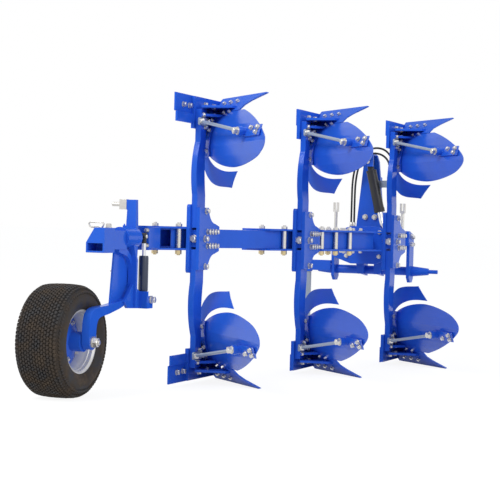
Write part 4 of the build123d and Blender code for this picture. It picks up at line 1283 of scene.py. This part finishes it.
@dataclass
class Headstock(SubAssembly):
    """Trim of the headstock: cylinder, valve block, plates and parking stand.

    Attributes:
        cylinder_top: the cylinder's upper pin.
        cylinder_lean: how far aside and down the lower pin lies from it.
        gland_at: distance of the cylinder's gland from its upper pin.
        rear_at: distance of its rear ring from the same pin.
        port: its oil port.
        stand_pin: the middle of the stand's cross pin.
        cap_face: place along travel and side position of the valve block's hexagon caps.
        cap_rows: their heights from the turnover axis.
        plug_face: place along travel and height of the plugs on its top.
        plug_rows: their side positions.
        knob_face: place along travel and side position of its round caps.
        knob_rows: their heights from the turnover axis.
        screw_y: side position of the screws beside it.
        screw_rows: their heights from the turnover axis.
        tower_faces: rear and front face of the tower.
        tower_bolts: side position and height of the large bolts on both.
        arm_face: outer face of a hitch arm.
        arm_bolts: place along travel and height of the bolts on it.
        housing_side: outer face of the turnover housing's side.
        housing_x: the bolts on that side, along travel.
        housing_rows: their heights from the turnover axis.
        housing_rear: rear face of the turnover housing.
        housing_bolts: side position and height of the bolts on it.
        flange_r: radius of the bolt circle on the shaft's flange.
    """

    cylinder_top: Point = (408.0, 0.0, AXIS + 560.0)
    cylinder_lean: tuple[float, float] = (-134.0, -560.0)
    gland_at: float = 366.5
    rear_at: float = 64.0
    port: Point = (408.0, -38.0, AXIS + 470.0)
    stand_pin: Point = (470.0, 462.0, AXIS - 188.0)
    cap_face: tuple[float, float] = (410.0, -196.0)
    cap_rows: tuple[float, ...] = (380.0, 405.0, 430.0)
    plug_face: tuple[float, float] = (425.0, 455.0)
    plug_rows: tuple[float, ...] = (-160.0, -182.0)
    knob_face: tuple[float, float] = (372.0, -168.0)
    knob_rows: tuple[float, ...] = (378.0, 418.0)
    screw_y: float = -75.0
    screw_rows: tuple[float, ...] = (392.0, 418.0)
    tower_faces: tuple[float, float] = (455.0, TOWER_FRONT)
    tower_bolts: tuple[float, float] = (35.0, 168.0)
    arm_face: float = 291.0
    arm_bolts: Pairs = ((505.0, 40.0), (545.0, 30.0), (505.0, -20.0), (545.0, -20.0))
    housing_side: float = 224.0
    housing_x: float = 400.0
    housing_rows: tuple[float, ...] = (-90.0, -30.0, 30.0)
    housing_rear: float = 300.0
    housing_bolts: Pairs = ((120.0, -110.0), (170.0, -60.0), (170.0, 20.0), (120.0, 60.0))
    flange_r: float = 66.0

    def cylinder(self) -> None:
        """Adds the cylinder's gland, its rear ring and its port."""
        reach = math.hypot(*self.cylinder_lean)
        way = Vector((0.0, self.cylinder_lean[0] / reach, self.cylinder_lean[1] / reach))
        top = Vector(self.cylinder_top)
        gland = [(0.0183, -0.030), (0.0385, -0.030), (0.0385, -0.002), (0.036, 0.0), (0.0183, 0.0)]
        gland.append(gland[0])
        rear = [(0.0, -0.001), (0.0372, -0.001), (0.0382, 0.004), (0.0372, 0.009), (0.0, 0.010)]
        forms = [
            (tuple(top + way * self.gland_at), way, gland, 48),
            (tuple(top + way * self.rear_at), way, rear, 48),
            (self.port, (0.3, -1, 0), bar(0.013, -0.012, 0.012), 16),
        ]
        self.shop.turn("cylinder_rings", "cylinder_tube", "black_paint", forms)

    def valve(self) -> None:
        """Adds the valve block's caps, plugs and the screws beside it."""
        cap = [(0.0, -0.002), (0.012, -0.002), (0.012, 0.009), (0.007, 0.011), (0.0, 0.011)]
        plug = [(0.0, -0.002), (0.009, -0.002), (0.009, 0.012), (0.0, 0.013)]
        knob = [(0.0, -0.002), (0.014, -0.002), (0.014, 0.006), (0.010, 0.016), (0.0, 0.016)]
        top_x, top = self.plug_face
        forms = [((*self.cap_face, AXIS + z), RIGHT, cap, 6) for z in self.cap_rows]
        forms += [((top_x, y, AXIS + top), UP, plug, 6) for y in self.plug_rows]
        forms += [((*self.knob_face, AXIS + z), ASTERN, knob, 20) for z in self.knob_rows]
        self.shop.turn("valve_caps", "headstock", "silver_zinc", forms)
        screws = [Bolt((TOWER_FRONT, self.screw_y, AXIS + z), AHEAD, 22.0) for z in self.screw_rows]
        self.tree.set("valve_screws", screws, "headstock")

    def plates(self) -> None:
        """Adds bolts on the tower, the hitch arms, the turnover housing and the shaft's flange."""
        rows = []
        y, z = self.tower_bolts
        for x, way in zip(self.tower_faces, (ASTERN, AHEAD)):
            rows += [Bolt((x, y * s, AXIS + z), way, 34.0) for s in (-1, 1)]
        for s in (-1, 1):
            for x, z in self.arm_bolts:
                rows.append(Bolt((x, s * self.arm_face, AXIS + z), (0, s, 0), 28.0))
            for z in self.housing_rows:
                rows.append(Bolt((self.housing_x, s * self.housing_side, AXIS + z), (0, s, 0), 26.0))
            for y, z in self.housing_bolts:
                rows.append(Bolt((self.housing_rear, s * y, AXIS + z), ASTERN, 26.0))
        for i in range(8):
            a = math.pi * (i / 4.0 + 0.125)
            y, z = self.flange_r * math.cos(a), self.flange_r * math.sin(a)
            rows.append(Bolt((SHAFT_FLANGE, y, AXIS + z), ASTERN, 18.0))
        self.tree.set("headstock_bolts", rows, "headstock")

    def stand(self) -> None:
        """Adds the stand's cross pin with its head and ring."""
        x, y, z = self.stand_pin
        pin = [(0.0, 0.0), (0.007, 0.0), (0.007, 0.070), (0.0055, 0.073), (0.0, 0.073)]
        head = [(0.0, -0.001), (0.012, -0.001), (0.012, 0.004), (0.0, 0.005)]
        loop = ((0, 2), (12, -8), (16, -24), (0, -36), (-16, -24), (-12, -8), (0, 2))
        bm = bmesh.new()
        ring(bm, (x, y - 34, z), LEFT, pin, 16)
        ring(bm, (x, y - 34, z), RIGHT, head, 18)
        tube(bm, [(x + along, y + 33, z + rise) for along, rise in loop], 1.8, 8)
        self.shop.make("stand_pin", bm, "headstock", "silver_zinc")

    def build(self) -> None:
        """Builds the headstock's trim."""
        self.cylinder()
        self.valve()
        self.plates()
        self.stand()


@dataclass
class Consoles(SubAssembly):
    """Bolts on the console plates and the welds of their walls.

    Attributes:
        deck_top: height of the plates' outer faces from the turnover axis.
        rear_face: rear face of the rear console.
        deck_bolts: length and side position of the single bolts on the plates.
        bead_rise: height of the weld beads from the turnover axis.
    """

    deck_top: float = 67.3
    rear_face: float = -2340.0
    deck_bolts: Pairs = ((-150.0, -70.0), (-250.0, -40.0), (20.0, 70.0), (20.0, -70.0))
    bead_rise: float = 55.3

    def build(self) -> None:
        """Sets the bolts and beads, and gilds the clamp bolts' nuts under the lower plates."""
        below = place(0.0, 0.0, AXIS - self.deck_top).z
        self.shop.repaint("clamp_pins", "gold_zinc", lambda middle: middle.z < below)
        rows = []
        for y in (-46.0, 46.0):
            rows += [Bolt((self.rear_face, PIVOT_Y + y, AXIS + z), ASTERN, 24.0) for z in (-42.0, 42.0)]
        for x, y in self.deck_bolts:
            rows.append(Bolt((x, y, AXIS + self.deck_top), UP, 24.0))
            rows.append(Bolt((x, y, AXIS - self.deck_top), DOWN, 24.0))
        self.tree.set("console_bolts", rows, "frame")
        beads = []
        for s in (-1, 1):
            z = AXIS + s * self.bead_rise
            beads.append([(self.rear_face, y, z) for y in (415.0, 527.0)])
            beads.append([(-61.0, y, z) for y in (-84.0, 84.0)])
            for y in (426.0, 516.0):
                beads.append([(x, y, z) for x in (-2330.0, -2190.0)])
        self.weld("console_welds", beads)


@dataclass
class Studio:
    """Floor, lights and world.

    Attributes:
        floor_size: length of the floor's sides, in metres.
    """

    floor_size: float = 400.0

    def build(self) -> None:
        """Makes the pale floor and soft light."""
        self._floor()
        self._world()
        self._lamp("key", (-9.0, 3.5, 9.0), 5.0, 620.0)
        self._lamp("fill", (-4.0, -9.0, 5.0), 6.0, 260.0)

    def _floor(self) -> None:
        """A floor that shows white and keeps the plough's shadow."""
        bm = bmesh.new()
        bmesh.ops.create_grid(bm, x_segments=1, y_segments=1, size=self.floor_size / 2)
        for vertex in bm.verts:
            vertex.co.z = -0.0005
        mesh = bpy.data.meshes.new("floor")
        bm.to_mesh(mesh)
        bm.free()
        material = bpy.data.materials.new("floor")
        material.use_nodes = True
        graph = Graph(material.node_tree)
        matt = graph.add("ShaderNodeBsdfDiffuse", {"Color": (0.8, 0.8, 0.8, 1.0)}).outputs[0]
        shown = graph.add("ShaderNodeBsdfDiffuse", {"Color": (0.16, 0.16, 0.16, 1.0)}).outputs[0]
        glow = graph.add("ShaderNodeEmission", {"Strength": 0.9}).outputs[0]
        bright = graph.add("ShaderNodeAddShader", {0: shown, 1: glow}).outputs[0]
        rays = graph.add("ShaderNodeLightPath").outputs
        seen = graph.calc("MAXIMUM", rays["Is Camera Ray"], rays["Is Glossy Ray"])
        both = graph.add("ShaderNodeMixShader", {"Fac": seen, 1: matt, 2: bright}).outputs[0]
        graph.add("ShaderNodeOutputMaterial", {"Surface": both})
        mesh.materials.append(material)
        linked("floor", mesh)

    @staticmethod
    def _world() -> None:
        """Soft sky light, white where the camera, glass or a gloss sees it."""
        world = bpy.data.worlds.new("sky")
        bpy.context.scene.world = world
        world.use_nodes = True
        graph = Graph(world.node_tree)
        sky = {"Color": (0.94, 0.97, 1.0, 1.0), "Strength": 0.62}
        soft = graph.add("ShaderNodeBackground", sky).outputs[0]
        white = graph.add("ShaderNodeBackground", {"Color": (1.0, 1.0, 1.0, 1.0), "Strength": 1.0}).outputs[0]
        rays = graph.add("ShaderNodeLightPath").outputs
        seen = graph.calc("MAXIMUM", rays["Is Camera Ray"], rays["Is Transmission Ray"])
        seen = graph.calc("MAXIMUM", seen, rays["Is Glossy Ray"])
        both = graph.add("ShaderNodeMixShader", {"Fac": seen, 1: soft, 2: white}).outputs[0]
        graph.add("ShaderNodeOutputWorld", {"Surface": both})

    @staticmethod
    def _lamp(name: str, at: Point, size: float, power: float) -> None:
        """One soft area lamp that looks at the plough.

        Args:
            name: the lamp's name.
            at: its place, in metres.
            size: its diameter, in metres.
            power: its power, in watts.
        """
        data = bpy.data.lights.new(name, "AREA")
        data.shape = "DISK"
        data.size = size
        data.energy = power
        lamp = linked(name, data)
        lamp.location = at
        lamp.rotation_euler = (Vector((0, 0, 0.8)) - Vector(at)).to_track_quat("-Z", "Y").to_euler()


@dataclass
class PhotoCamera:
    """The camera at the photograph's place, solved from the plough's own points.

    Attributes:
        at: its place in the part's drawing.
        right: the way to the picture's right.
        down: the way to the picture's foot.
        forward: the way it looks.
        focal_px: focal length, in the photograph's pixels.
        frame_px: the photograph's width.
        sensor: the sensor's width, in millimetres.
    """

    at: Point = (-9822.4, -3151.5, 916.5)
    right: Point = (0.36831102, -0.92934185, 0.02589833)
    down: Point = (-0.00490452, -0.0297984, -0.9995439)
    forward: Point = (0.9296897, 0.36801601, -0.01553305)
    focal_px: float = 1497.12
    frame_px: float = 500.0
    sensor: float = 36.0

    def build(self) -> None:
        """Creates the camera and makes it the scene's own."""
        data = bpy.data.cameras.new("photo_camera")
        data.sensor_width = self.sensor
        data.lens = self.sensor * self.focal_px / self.frame_px
        data.clip_end = 500.0
        camera = linked("photo_camera", data)
        right, up, back = Vector(self.right), -Vector(self.down), -Vector(self.forward)
        turn = Matrix((right, up, back)).transposed().to_4x4()
        camera.matrix_world = Matrix.Translation(place(*self.at)) @ turn
        bpy.context.scene.camera = camera


# CAD nodes

# The finish of the nodes whose names start so; the others are painted blue
FINISH_OF_NODE: dict[str, str] = {
    "stays_": "pale_grey_paint",
    "shares_": "satin_blue_paint",
    "trash_boards_": "satin_blue_paint",
    "landsides_": "satin_blue_paint",
    "clamp_pins": "silver_zinc",
    "stop_screws": "silver_zinc",
    "tilt_spindles": "silver_zinc",
    "cylinder_top_pin": "silver_zinc",
    "hose_fittings": "silver_zinc",
    "cylinder_rod": "chrome",
    "cylinder_tube": "black_paint",
    "damper": "dark_blue_paint",
    "valve_block": "pale_grey_paint",
    "parking_stand": "pale_grey_paint",
    "wheel_rim": "silver_paint",
    "tyre": "tyre_rubber",
}

# Nodes with thin edges, whose rounding is small
THIN_NODES: tuple[str, ...] = ("mouldboard_", "shares_", "trash_boards_", "stays_", "clamp_pins")

# Nodes cut from plate or bar, whose rounding is larger
PLATE_NODES: tuple[str, ...] = (
    "bracket_", "front_console", "middle_console", "rear_console", "tower", "hitch_arms", "wheel_arm",
    "arm_socket", "wheel_pivot", "valve_block", "leg_", "frogs_", "landsides_", "tail_brackets",
    "turnover_housing", "stand_socket", "main_beam", "stop_screws",
)


def dress_nodes(shop: Paintshop) -> None:
    """Gives every CAD node its finish and softens the plate work.

    Args:
        shop: the materials.
    """
    for name in frame["nodes"]:
        finish = next((f for start, f in FINISH_OF_NODE.items() if name.startswith(start)), "blue_paint")
        if name.startswith(THIN_NODES):
            shop.dress(softened(name, 0.001), finish)
        elif name.startswith(PLATE_NODES):
            shop.dress(softened(name, 0.0025), finish)
        else:
            shop.dress_node(name, finish)
    log.info("dressed %d nodes", len(frame["nodes"]))


def main() -> None:
    """Builds the scene in order."""
    bpy.context.scene.view_settings.view_transform = "Standard"
    PhotoCamera().build()
    shop = Paintshop()
    Hoses(shop).build()
    dress_nodes(shop)
    tree = BoltTree(shop)
    for part in (Bodies(shop, tree), DepthWheel(shop, tree), Headstock(shop, tree), Consoles(shop, tree)):
        part.build()
    Studio().build()


if __name__ == "__main__":
    main()
